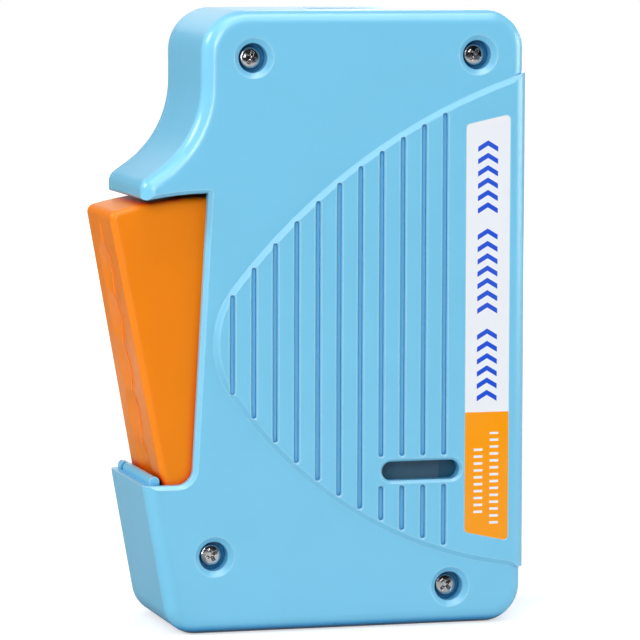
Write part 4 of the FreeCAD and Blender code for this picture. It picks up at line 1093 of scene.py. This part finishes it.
@dataclass
class CaseScrews:
    """Pan-head cross-recess screws in the wells of the front shell.

    Lengths are in millimetres, and the heads face -Y.

    Attributes:
        material: Their finish.
        head_r: Head radius.
        head_height: Head height.
        dome_share: Share of the head's height that is domed.
        dome_steps: Steps of the dome's arc.
        rim_height: Height of the bevel under the head's rim.
        rim_inset: Width of that bevel.
        recess_r: Reach of the cross recess.
        recess_width: Width of its arms.
        recess_depth: Depth of the recess.
        recess_over: How far its cutter stands above the head.
        recess_mouth: Reach and half width of its arms at the cutter's top, as shares of the two sizes.
        recess_floor: The same at its floor.
        shank_r: Thread radius.
        shank_length: Shank length.
        thread_pitch: Thread pitch.
        thread_start: Depth at which the thread starts.
        thread_room: Length of the shank without thread.
        root_share: Radius of the thread's root, as a share of its own.
        rise_share: Share of the pitch over which the thread rises.
        point_share: Radius of the point's base, as a share of the thread's.
        point_length: Length of the point.
        sides: Sides of the turned form, chosen so that no edge meets a corner of the recess.
        sharp_degrees: Angle from which an edge stays sharp.
        seat_y: Depth at which the heads sit.
        places: X and Z of each screw and the turn of its recess in degrees.
    """

    material: bpy.types.Material
    head_r: float = 1.95
    head_height: float = 1.6
    dome_share: float = 0.2
    dome_steps: int = 10
    rim_height: float = 0.12
    rim_inset: float = 0.1
    recess_r: float = 1.35
    recess_width: float = 0.6
    recess_depth: float = 1.1
    recess_over: float = 0.2
    recess_mouth: tuple[float, float] = (1.12, 0.58)
    recess_floor: tuple[float, float] = (0.3, 0.4)
    shank_r: float = 1.1
    shank_length: float = 14.0
    thread_pitch: float = 0.8
    thread_start: float = 1.2
    thread_room: float = 2.0
    root_share: float = 0.78
    rise_share: float = 0.45
    point_share: float = 0.6
    point_length: float = 0.5
    sides: int = 50
    sharp_degrees: float = 30.0
    seat_y: float = -11.2
    places: tuple[Point, ...] = (
        (-13.6, 106.3, 20.0), (29.4, 106.6, 38.0), (-21.0, 14.5, 62.0), (24.4, 7.2, 47.0))

    def _turned(self) -> bpy.types.Mesh:
        """Turned form of one screw about the Y axis, with its thread's crests.

        Returns:
            The mesh.
        """
        profile = [(0.0, -self.head_height)]
        for step in range(1, self.dome_steps + 1):
            angle = math.pi / 2 * step / self.dome_steps
            height = self.head_height * (1 - self.dome_share + self.dome_share * math.cos(angle))
            profile.append((self.head_r * math.sin(angle), -height))
        profile += [
            (self.head_r, -self.rim_height), (self.head_r - self.rim_inset, 0.0), (self.shank_r, 0.0)]
        for crest in range(int((self.shank_length - self.thread_room) / self.thread_pitch)):
            low = self.thread_start + crest * self.thread_pitch
            profile += [
                (self.shank_r * self.root_share, low),
                (self.shank_r, low + self.rise_share * self.thread_pitch)]
        profile += [
            (self.shank_r * self.point_share, self.shank_length - self.point_length),
            (0.0, self.shank_length)]
        return lathe("screw_turned", [(r * MM, y * MM) for r, y in profile], self.sides)

    def _cross(self) -> bpy.types.Mesh:
        """Tapered cross that cuts the recess.

        Returns:
            The mesh.
        """
        mesh = bpy.data.meshes.new("recess_cross")
        work = bmesh.new()
        rings = []
        for y, (reach_share, half_share) in (
                (-(self.head_height + self.recess_over), self.recess_mouth),
                (-(self.head_height - self.recess_depth), self.recess_floor)):
            reach, half = self.recess_r * reach_share, self.recess_width * half_share
            ring = []
            for turn in range(4):
                spin = Matrix.Rotation(math.pi / 2 * turn, 3, "Y")
                for x, z in ((reach, half), (reach, -half), (half, -half)):
                    ring.append(work.verts.new(spin @ Vector((x, y, z)) * MM))
            rings.append(ring)
        for ring in rings:
            work.faces.new(ring)
        outer, inner = rings
        for k in range(len(outer)):
            after = (k + 1) % len(outer)
            work.faces.new((outer[k], outer[after], inner[after], inner[k]))
        bmesh.ops.recalc_face_normals(work, faces=work.faces)
        work.to_mesh(mesh)
        work.free()
        return mesh

    def _pattern(self) -> bpy.types.Object:
        """One finished screw at the origin, used by the scatter tree alone.

        Returns:
            The screw, which isn't linked to the scene.
        """
        screw = bpy.data.objects.new("screw_pattern", self._turned())
        cutter = bpy.data.objects.new("recess_cutter", self._cross())
        for item in (screw, cutter):
            bpy.context.scene.collection.objects.link(item)
        cut = screw.modifiers.new("recess", "BOOLEAN")
        cut.object = cutter
        cut.solver = "EXACT"
        mesh = evaluated_mesh(screw, "screw_pattern_cut")
        mesh.shade_smooth()
        mesh.set_sharp_from_angle(angle=math.radians(self.sharp_degrees))
        for item in (screw, cutter):
            bpy.data.objects.remove(item)
        return bpy.data.objects.new("screw_pattern", mesh)

    def _scatter(self, pattern: bpy.types.Object) -> bpy.types.NodeTree:
        """Geometry Nodes tree that sets one screw on each point.

        Args:
            pattern: The screw.

        Returns:
            The tree.
        """
        graph, source, result = start_layout("set_screws", {"Seat Depth": FLOAT})
        info = graph.add("GeometryNodeObjectInfo", {"Object": pattern, "As Instance": True})
        turn = graph.add("GeometryNodeInputNamedAttribute", {"Name": "turn"}, data_type="FLOAT")
        spin = graph.add("ShaderNodeCombineXYZ", {"Y": turn.outputs["Attribute"]})
        depth = graph.add("ShaderNodeCombineXYZ", {"Y": source.outputs["Seat Depth"]})
        moved = graph.add("GeometryNodeSetPosition", {
            "Geometry": source.outputs["Geometry"], "Offset": depth.outputs[0]})
        scatter = graph.add("GeometryNodeInstanceOnPoints", {
            "Points": moved.outputs[0], "Instance": info.outputs["Geometry"], "Rotation": spin.outputs[0]})
        return end_layout(graph, result, scatter.outputs[0], self.material)

    def build(self) -> bpy.types.Object:
        """Builds the four screws as one piece.

        Returns:
            The piece.
        """
        points = bpy.data.meshes.new("screw_points")
        points.from_pydata([(x * MM, 0.0, z * MM) for x, z, _ in self.places], [], [])
        turns = points.attributes.new("turn", "FLOAT", "POINT")
        for item, (_, _, degrees) in zip(turns.data, self.places):
            item.value = math.radians(degrees)
        pattern = self._pattern()
        mesh = run_layout(
            points, self._scatter(pattern), {"Seat Depth": self.seat_y * MM}, "case_screws_dressed")
        bpy.data.objects.remove(pattern)
        piece = new_piece("case_screws_dressed", mesh, self.material)
        settle(piece, Body.CASE, Slot.SCREW, "case_screws")
        return piece


@dataclass
class LeverBead:
    """Fine bead that the mould leaves down the middle of the lever's pull face.

    Attributes:
        lever: The dressed lever, whose face the bead follows.
        material: The lever's finish.
        radius: Radius of the bead in millimetres.
        low: Its lower end in millimetres.
        high: Its upper end in millimetres.
        fade: Length over which its ends thin out, in millimetres.
        tip_share: Radius of its ends, as a share of its own.
        standoff: Distance outside the lever from which the face is found, in millimetres.
        search: Length over which the face is looked for, in millimetres.
        samples: Points along it.
        sides: Sides of its section.
    """

    lever: bpy.types.Object
    material: bpy.types.Material
    radius: float = 0.2
    low: float = 30.4
    high: float = 76.4
    fade: float = 3.0
    tip_share: float = 0.3
    standoff: float = 5.0
    search: float = 100.0
    samples: int = 120
    sides: int = 10

    def _tree(self) -> bpy.types.NodeTree:
        """Geometry Nodes tree that lays the bead on the pull face.

        Returns:
            The tree.
        """
        graph, source, result = start_layout(
            "lay_bead", {"Radius": FLOAT, "Low": FLOAT, "High": FLOAT, "Fade": FLOAT, "Start X": FLOAT})
        start_x, low, high = (source.outputs[name] for name in ("Start X", "Low", "High"))
        start = graph.add("ShaderNodeCombineXYZ", {"X": start_x, "Z": low})
        stop = graph.add("ShaderNodeCombineXYZ", {"X": start_x, "Z": high})
        line = graph.add("GeometryNodeCurvePrimitiveLine", {
            "Start": start.outputs[0], "End": stop.outputs[0]})
        points = graph.add("GeometryNodeResampleCurve", {"Curve": line.outputs[0], "Count": self.samples})
        info = graph.add("GeometryNodeObjectInfo", {"Object": self.lever})
        cast = graph.add("GeometryNodeRaycast", {
            "Target Geometry": info.outputs["Geometry"], "Ray Direction": (1.0, 0.0, 0.0),
            "Ray Length": self.search * MM})
        laid = graph.add("GeometryNodeSetPosition", {
            "Geometry": points.outputs[0], "Position": cast.outputs["Hit Position"]})
        spot = graph.add("GeometryNodeInputPosition").outputs[0]
        height = graph.add("ShaderNodeSeparateXYZ", {0: spot}).outputs["Z"]
        below = graph.math("SUBTRACT", high, height)
        above = graph.math("SUBTRACT", height, low)
        left = graph.math("DIVIDE", graph.math("MINIMUM", below, above), source.outputs["Fade"])
        taper = graph.ramp(left, 0.0, 1.0, self.tip_share, 1.0)
        ring = graph.add("GeometryNodeCurvePrimitiveCircle", {
            "Resolution": self.sides, "Radius": source.outputs["Radius"]})
        bead = graph.add("GeometryNodeCurveToMesh", {
            "Curve": laid.outputs[0], "Profile Curve": ring.outputs[0], "Scale": taper, "Fill Caps": True})
        return end_layout(graph, result, bead.outputs[0], self.material)

    def build(self) -> bpy.types.Object:
        """Builds the bead as a piece of the lever.

        Returns:
            The piece.
        """
        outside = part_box("squeeze_lever")[0][0] - self.standoff * MM
        mesh = run_layout(bpy.data.meshes.new("bead_start"), self._tree(), {
            "Radius": self.radius * MM, "Low": self.low * MM, "High": self.high * MM, "Fade": self.fade * MM,
            "Start X": outside}, "lever_bead")
        mesh.shade_smooth()
        piece = new_piece("lever_bead", mesh, self.material)
        settle(piece, Body.LEVER, Slot.LEVER)
        return piece


@dataclass
class TapeRoll:
    """Wound tape as separate turns with uneven edges.

    Attributes:
        name: CAD node that the roll stands for.
        body: Body that it rides on.
        material: Its finish.
        centre: X and Z of its axis in millimetres.
        inner: Inner radius in millimetres.
        outer: Outer radius in millimetres.
        turns: Number of turns shown.
        half_width: Half of the tape's width in millimetres.
        unevenness: How far a turn's edges may stand out, in millimetres.
        edge_room: Share of the width that uneven turns may fill.
        width_share: Share of that width that each turn has.
        thick_share: Thickness of a turn, as a share of the distance between turns.
        sides: Sides of each turn.
        sharp_degrees: Angle from which an edge stays sharp.
        seed: Seed of the uneven edges.
    """

    name: str
    body: Body
    material: bpy.types.Material
    centre: tuple[float, float]
    inner: float
    outer: float
    turns: int
    half_width: float = 5.0
    unevenness: float = 0.05
    edge_room: float = 0.985
    width_share: float = 0.99
    thick_share: float = 0.96
    sides: int = 96
    sharp_degrees: float = 40.0
    seed: int = 3

    def _tree(self) -> bpy.types.NodeTree:
        """Geometry Nodes tree that winds the turns.

        Returns:
            The tree.
        """
        graph, source, result = start_layout(self.name + "_turns", {
            "Inner Radius": FLOAT, "Turn Pitch": FLOAT, "Half Width": FLOAT, "Unevenness": FLOAT,
            "Turns": WHOLE, "Seed": WHOLE})
        pitch, half, uneven = (source.outputs[name] for name in ("Turn Pitch", "Half Width", "Unevenness"))
        line = graph.add("GeometryNodeMeshLine", {
            "Count": source.outputs["Turns"], "Offset": (0.0, 0.0, 0.0)})
        middle = graph.math("ADD", graph.add("GeometryNodeInputIndex").outputs[0], 0.5)
        radius = graph.math("ADD", source.outputs["Inner Radius"], graph.math("MULTIPLY", middle, pitch))
        low = graph.math("MULTIPLY", uneven, -1.0)
        slip = graph.add("FunctionNodeRandomValue", {"Seed": source.outputs["Seed"]}, data_type="FLOAT")
        limits = {"Min": low, "Max": uneven}
        for socket in slip.inputs:
            if socket.name in limits and socket.type == "VALUE":
                graph.tree.links.new(limits[socket.name], socket)
        shift = next(socket for socket in slip.outputs if socket.type == "VALUE" and socket.enabled)
        offset = graph.add("ShaderNodeCombineXYZ", {"Y": shift})
        moved = graph.add("GeometryNodeSetPosition", {
            "Geometry": line.outputs[0], "Offset": offset.outputs[0]})
        ring = graph.add("GeometryNodeCurvePrimitiveCircle", {"Resolution": self.sides, "Radius": 1.0})
        upright = graph.add("GeometryNodeTransform", {
            "Geometry": ring.outputs[0], "Rotation": (math.pi / 2, 0.0, 0.0)})
        size = graph.add("ShaderNodeCombineXYZ", {"X": radius, "Y": 1.0, "Z": radius})
        wound = graph.add("GeometryNodeInstanceOnPoints", {
            "Points": moved.outputs[0], "Instance": upright.outputs[0], "Scale": size.outputs[0]})
        curves = graph.add("GeometryNodeRealizeInstances", {"Geometry": wound.outputs[0]})
        profile = graph.add("GeometryNodeCurvePrimitiveQuadrilateral", {
            "Width": graph.math("MULTIPLY", pitch, self.thick_share),
            "Height": graph.math("MULTIPLY", half, 2 * self.width_share)})
        band = graph.add("GeometryNodeCurveToMesh", {
            "Curve": curves.outputs[0], "Profile Curve": profile.outputs[0], "Fill Caps": False})
        return end_layout(graph, result, band.outputs[0], self.material)

    def build(self) -> bpy.types.Object:
        """Builds the roll in place of its CAD node.

        Returns:
            The piece.
        """
        pitch = (self.outer - self.inner) / self.turns
        mesh = run_layout(bpy.data.meshes.new(self.name + "_start"), self._tree(), {
            "Inner Radius": self.inner * MM, "Turn Pitch": pitch * MM,
            "Half Width": self.half_width * self.edge_room * MM, "Unevenness": self.unevenness * MM,
            "Turns": self.turns, "Seed": self.seed}, self.name + "_dressed")
        mesh.transform(Matrix.Translation((self.centre[0] * MM, 0.0, self.centre[1] * MM)))
        mesh.shade_smooth()
        mesh.set_sharp_from_angle(angle=math.radians(self.sharp_degrees))
        piece = new_piece(self.name + "_dressed", mesh, self.material)
        settle(piece, self.body, Slot.TAPE, self.name)
        return piece


@dataclass(frozen=True)
class SoftBox:
    """One soft lamp that faces the middle of the object.

    Attributes:
        name: Lamp name.
        toward: Direction from the object to the lamp.
        distance: Distance from the object in metres.
        width: Width of its face in metres.
        height: Height of its face in metres.
        watts: Its power.
        sheen_only: Whether it shows only as a reflection and adds no light of its own.
        aim: Point that it faces, in metres.
    """

    name: str
    toward: Point
    distance: float
    width: float
    height: float
    watts: float
    sheen_only: bool = False
    aim: Point = (0.0, 0.0, 0.06)

    def build(self) -> None:
        """Hangs the lamp."""
        data = bpy.data.lights.new(self.name, "AREA")
        data.shape = "RECTANGLE"
        data.size = self.width
        data.size_y = self.height
        data.energy = self.watts
        lamp = bpy.data.objects.new(self.name, data)
        away = Vector(self.toward).normalized()
        lamp.location = Vector(self.aim) + away * self.distance
        lamp.rotation_euler = (-away).to_track_quat("-Z", "Y").to_euler()
        lamp.visible_diffuse = not self.sheen_only
        bpy.context.scene.collection.objects.link(lamp)


@dataclass(frozen=True)
class DarkCard:
    """One dark card that stands or lies just above the floor, which only shiny surfaces see.

    Attributes:
        name: Object name.
        azimuth: Its turn round the object in degrees, 0 in front.
        distance: Its distance in metres.
        width: Its width in metres.
        height: Its height in metres, or its length where it lies flat.
        shade: Share of the light that it throws back.
        flat: Whether it lies on the floor and reaches away from the object.
    """

    name: str
    azimuth: float
    distance: float
    width: float
    height: float
    shade: float
    flat: bool = False

    def build(self) -> None:
        """Puts the card in its place."""
        turn = math.radians(self.azimuth)
        outward = Vector((math.sin(turn), -math.cos(turn), 0.0))
        middle = outward * self.distance + UP * MM
        side = Vector((math.cos(turn), math.sin(turn), 0.0)) * (self.width / 2)
        rise = (outward if self.flat else UP) * self.height
        corners = [middle - side, middle + side, middle + side + rise, middle - side + rise]
        mesh = bpy.data.meshes.new(self.name)
        mesh.from_pydata(corners, [], [(0, 1, 2, 3)])
        material, _, _ = open_matte(self.name + "_paper", self.shade)
        card = new_piece(self.name, mesh, material)
        card.visible_camera = False
        card.visible_diffuse = False
        card.visible_transmission = False
        card.visible_shadow = False


@dataclass
class Studio:
    """White product-shot set: floor, world, lights and the camera at the photograph's angle.

    Attributes:
        azimuth: Camera's turn round the object in degrees.
        elevation: Camera's height angle in degrees.
        roll: Camera's roll in degrees.
        distance: Distance to the target in metres.
        target: Point that the camera looks at, in metres.
        focal_px: Focal length in pixels of the frame.
        frame_px: Width of the frame in pixels.
        sensor_mm: Width of the sensor in millimetres.
        clip: Nearest and furthest distance that the camera sees, in metres.
        world_level: Strength of the world on the object.
        floor_reach: Distance from the object to the floor's sides, in metres.
        floor_shade: Share of the light that the floor throws back.
        near_glow: Strength that the floor adds where it is seen, close to the object.
        far_glow: The same far from the object.
        glow_range: Distances at which it starts to change from the one to the other and ends, in metres.
        mirrored: Share of that strength that shiny surfaces see.
        cards: The dark cards round the object.
        lamps: The soft boxes round the object.
    """

    azimuth: float = -15.6
    elevation: float = 5.5
    roll: float = 0.15
    distance: float = 0.8
    target: Point = (0.00331, 0.0, 0.05641)
    focal_px: float = 4247.8
    frame_px: float = 640.0
    sensor_mm: float = 36.0
    clip: tuple[float, float] = (0.01, 50.0)
    world_level: float = 0.2
    floor_reach: float = 3.0
    floor_shade: float = 0.6
    near_glow: float = 0.55
    far_glow: float = 0.98
    glow_range: tuple[float, float] = (0.15, 0.9)
    mirrored: float = 0.2
    cards: tuple[DarkCard, ...] = (
        DarkCard("front_card", azimuth=22.0, distance=0.5, width=0.8, height=0.5, shade=0.004),
        DarkCard("rear_card", azimuth=205.0, distance=0.3, width=0.3, height=0.17, shade=0.15),
        DarkCard("left_mat", azimuth=270.0, distance=0.02, width=0.4, height=0.11, shade=0.28, flat=True),
    )
    lamps: tuple[SoftBox, ...] = (
        SoftBox("key_box", (-0.3, -0.83, 0.47), distance=1.1, width=0.5, height=0.5, watts=3.2),
        SoftBox("fill_box", (-0.4, -0.85, 0.34), distance=1.2, width=0.4, height=0.4, watts=2.9),
        SoftBox("top_box", (0.1, -0.15, 0.98), distance=1.0, width=1.0, height=0.16, watts=3.0),
        SoftBox("front_strip", (-0.44, -0.88, 0.06), distance=1.0, width=0.04, height=0.5, watts=2.1),
        SoftBox("right_box", (0.98, -0.17, 0.1), distance=1.0, width=0.6, height=0.4, watts=4.2),
        SoftBox("left_box", (-0.85, 0.12, 0.5), distance=1.0, width=0.25, height=0.25, watts=4.4),
        SoftBox("back_box", (0.5, 0.8, 0.35), distance=1.0, width=0.5, height=0.5, watts=3.4),
        SoftBox(
            "top_sheen", (-0.1, -0.4, 0.92), distance=1.0, width=1.2, height=0.9, watts=10.0,
            sheen_only=True),
    )

    def _camera(self) -> None:
        """Makes the camera."""
        data = bpy.data.cameras.new("photo_camera")
        data.sensor_width = self.sensor_mm
        data.lens = self.focal_px / self.frame_px * data.sensor_width
        data.clip_start, data.clip_end = self.clip
        camera = bpy.data.objects.new("photo_camera", data)
        turn, rise = math.radians(self.azimuth), math.radians(self.elevation)
        back = Vector((
            math.sin(turn) * math.cos(rise), -math.cos(turn) * math.cos(rise), math.sin(rise)))
        right = (-back).cross(UP).normalized()
        basis = Matrix((right, back.cross(right), back)).transposed()
        basis = basis @ Matrix.Rotation(math.radians(self.roll), 3, "Z")
        place = Vector(self.target) + back * self.distance
        camera.matrix_world = Matrix.Translation(place) @ basis.to_4x4()
        bpy.context.scene.collection.objects.link(camera)
        bpy.context.scene.camera = camera

    def _floor(self) -> None:
        """Makes the pale floor, which keeps the object's shadow."""
        reach = self.floor_reach
        mesh = bpy.data.meshes.new("floor")
        mesh.from_pydata([
            (-reach, -reach, 0.0), (reach, -reach, 0.0), (reach, reach, 0.0), (-reach, reach, 0.0)],
            [], [(0, 1, 2, 3)])
        material, graph, shader = open_matte("pale_floor", self.floor_shade)
        path = graph.add("ShaderNodeLightPath")
        mirror = graph.math("MAXIMUM", path.outputs["Is Glossy Ray"], path.outputs["Is Transmission Ray"])
        mirror = graph.math("MULTIPLY", mirror, self.mirrored)
        seen = graph.math("MAXIMUM", path.outputs["Is Camera Ray"], mirror)
        spot = graph.add("ShaderNodeTexCoord").outputs["Object"]
        away = graph.add("ShaderNodeVectorMath", {0: spot}, operation="LENGTH").outputs["Value"]
        level = graph.ramp(away, *self.glow_range, self.near_glow, self.far_glow)
        shader.inputs["Emission Color"].default_value = WHITE
        graph.join(shader, Emission_Strength=graph.math("MULTIPLY", seen, level))
        new_piece("floor", mesh, material)

    def _world(self) -> None:
        """Makes a world that is white to the camera and soft on the object."""
        world = bpy.data.worlds.new("white_studio")
        world.use_nodes = True
        bpy.context.scene.world = world
        graph = Graph(world.node_tree)
        path = graph.add("ShaderNodeLightPath")
        mirror = graph.math("MAXIMUM", path.outputs["Is Glossy Ray"], path.outputs["Is Transmission Ray"])
        seen = graph.math("MAXIMUM", path.outputs["Is Camera Ray"], mirror)
        strength = graph.ramp(seen, 0.0, 1.0, self.world_level, 1.0)
        white = graph.add("ShaderNodeBackground", {"Color": WHITE, "Strength": strength})
        graph.add("ShaderNodeOutputWorld", {"Surface": white.outputs[0]})

    def build(self) -> None:
        """Sets up the whole studio."""
        self._floor()
        self._world()
        self._camera()
        for item in (*self.cards, *self.lamps):
            item.build()
        bpy.context.scene.view_settings.view_transform = "Standard"


CARRIED_NODES: tuple[CarriedNode, ...] = (
    CarriedNode("front_shell", Body.CASE, Slot.CASE),
    CarriedNode("rear_shell", Body.CASE, Slot.CASE),
    CarriedNode("label", Body.CASE, Slot.LABEL),
    CarriedNode("window_lens", Body.CASE, Slot.LENS, rounding=0.2),
    CarriedNode("squeeze_lever", Body.LEVER, Slot.LEVER),
    CarriedNode("shutter_pin", Body.LEVER, Slot.PIN),
    CarriedNode("return_spring", Body.CASE, Slot.SPRING),
    CarriedNode("shutter", Body.SHUTTER, Slot.INNER, rounding=0.15),
    CarriedNode("pad_holder", Body.CASE, Slot.INNER),
    CarriedNode("cleaning_pad", Body.CASE, Slot.PAD, rounding=0.4),
    CarriedNode("guide_roller_left", Body.ROLLER_LEFT, Slot.REEL),
    CarriedNode("guide_roller_right", Body.ROLLER_RIGHT, Slot.REEL),
    CarriedNode("roller_pins", Body.CASE, Slot.PIN),
    CarriedNode("tape_strand", Body.CASE, Slot.TAPE),
    CarriedNode("supply_reel", Body.SUPPLY, Slot.REEL),
    CarriedNode("take_up_reel", Body.TAKE_UP, Slot.REEL),
    CarriedNode("drive_gear", Body.DRIVE, Slot.REEL),
    CarriedNode("drive_pawl", Body.DRIVE, Slot.INNER),
    SprungLeaf("hold_pawl", Body.CASE, Slot.SPRING, rounding=0.06),
    CarriedNode("drag_washers", Body.CASE, Slot.FELT),
)


def main() -> None:
    """Builds the cassette's pieces and the studio in order."""
    logging.basicConfig(level=logging.INFO, format="%(name)s %(message)s")
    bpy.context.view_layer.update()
    materials = build_materials()
    carried = {entry.node: entry.build(materials) for entry in CARRIED_NODES}
    LeverBead(carried["squeeze_lever"], materials[Slot.LEVER]).build()
    CaseScrews(materials[Slot.SCREW]).build()
    TapeRoll(
        "supply_roll", Body.SUPPLY, materials[Slot.TAPE], centre=(5.5, 29.4), inner=6.0, outer=19.9,
        turns=34).build()
    TapeRoll(
        "take_up_roll", Body.TAKE_UP, materials[Slot.TAPE], centre=(5.495, 80.91), inner=5.2, outer=9.0,
        turns=9, seed=7).build()
    Studio().build()


if __name__ == "__main__":
    main()
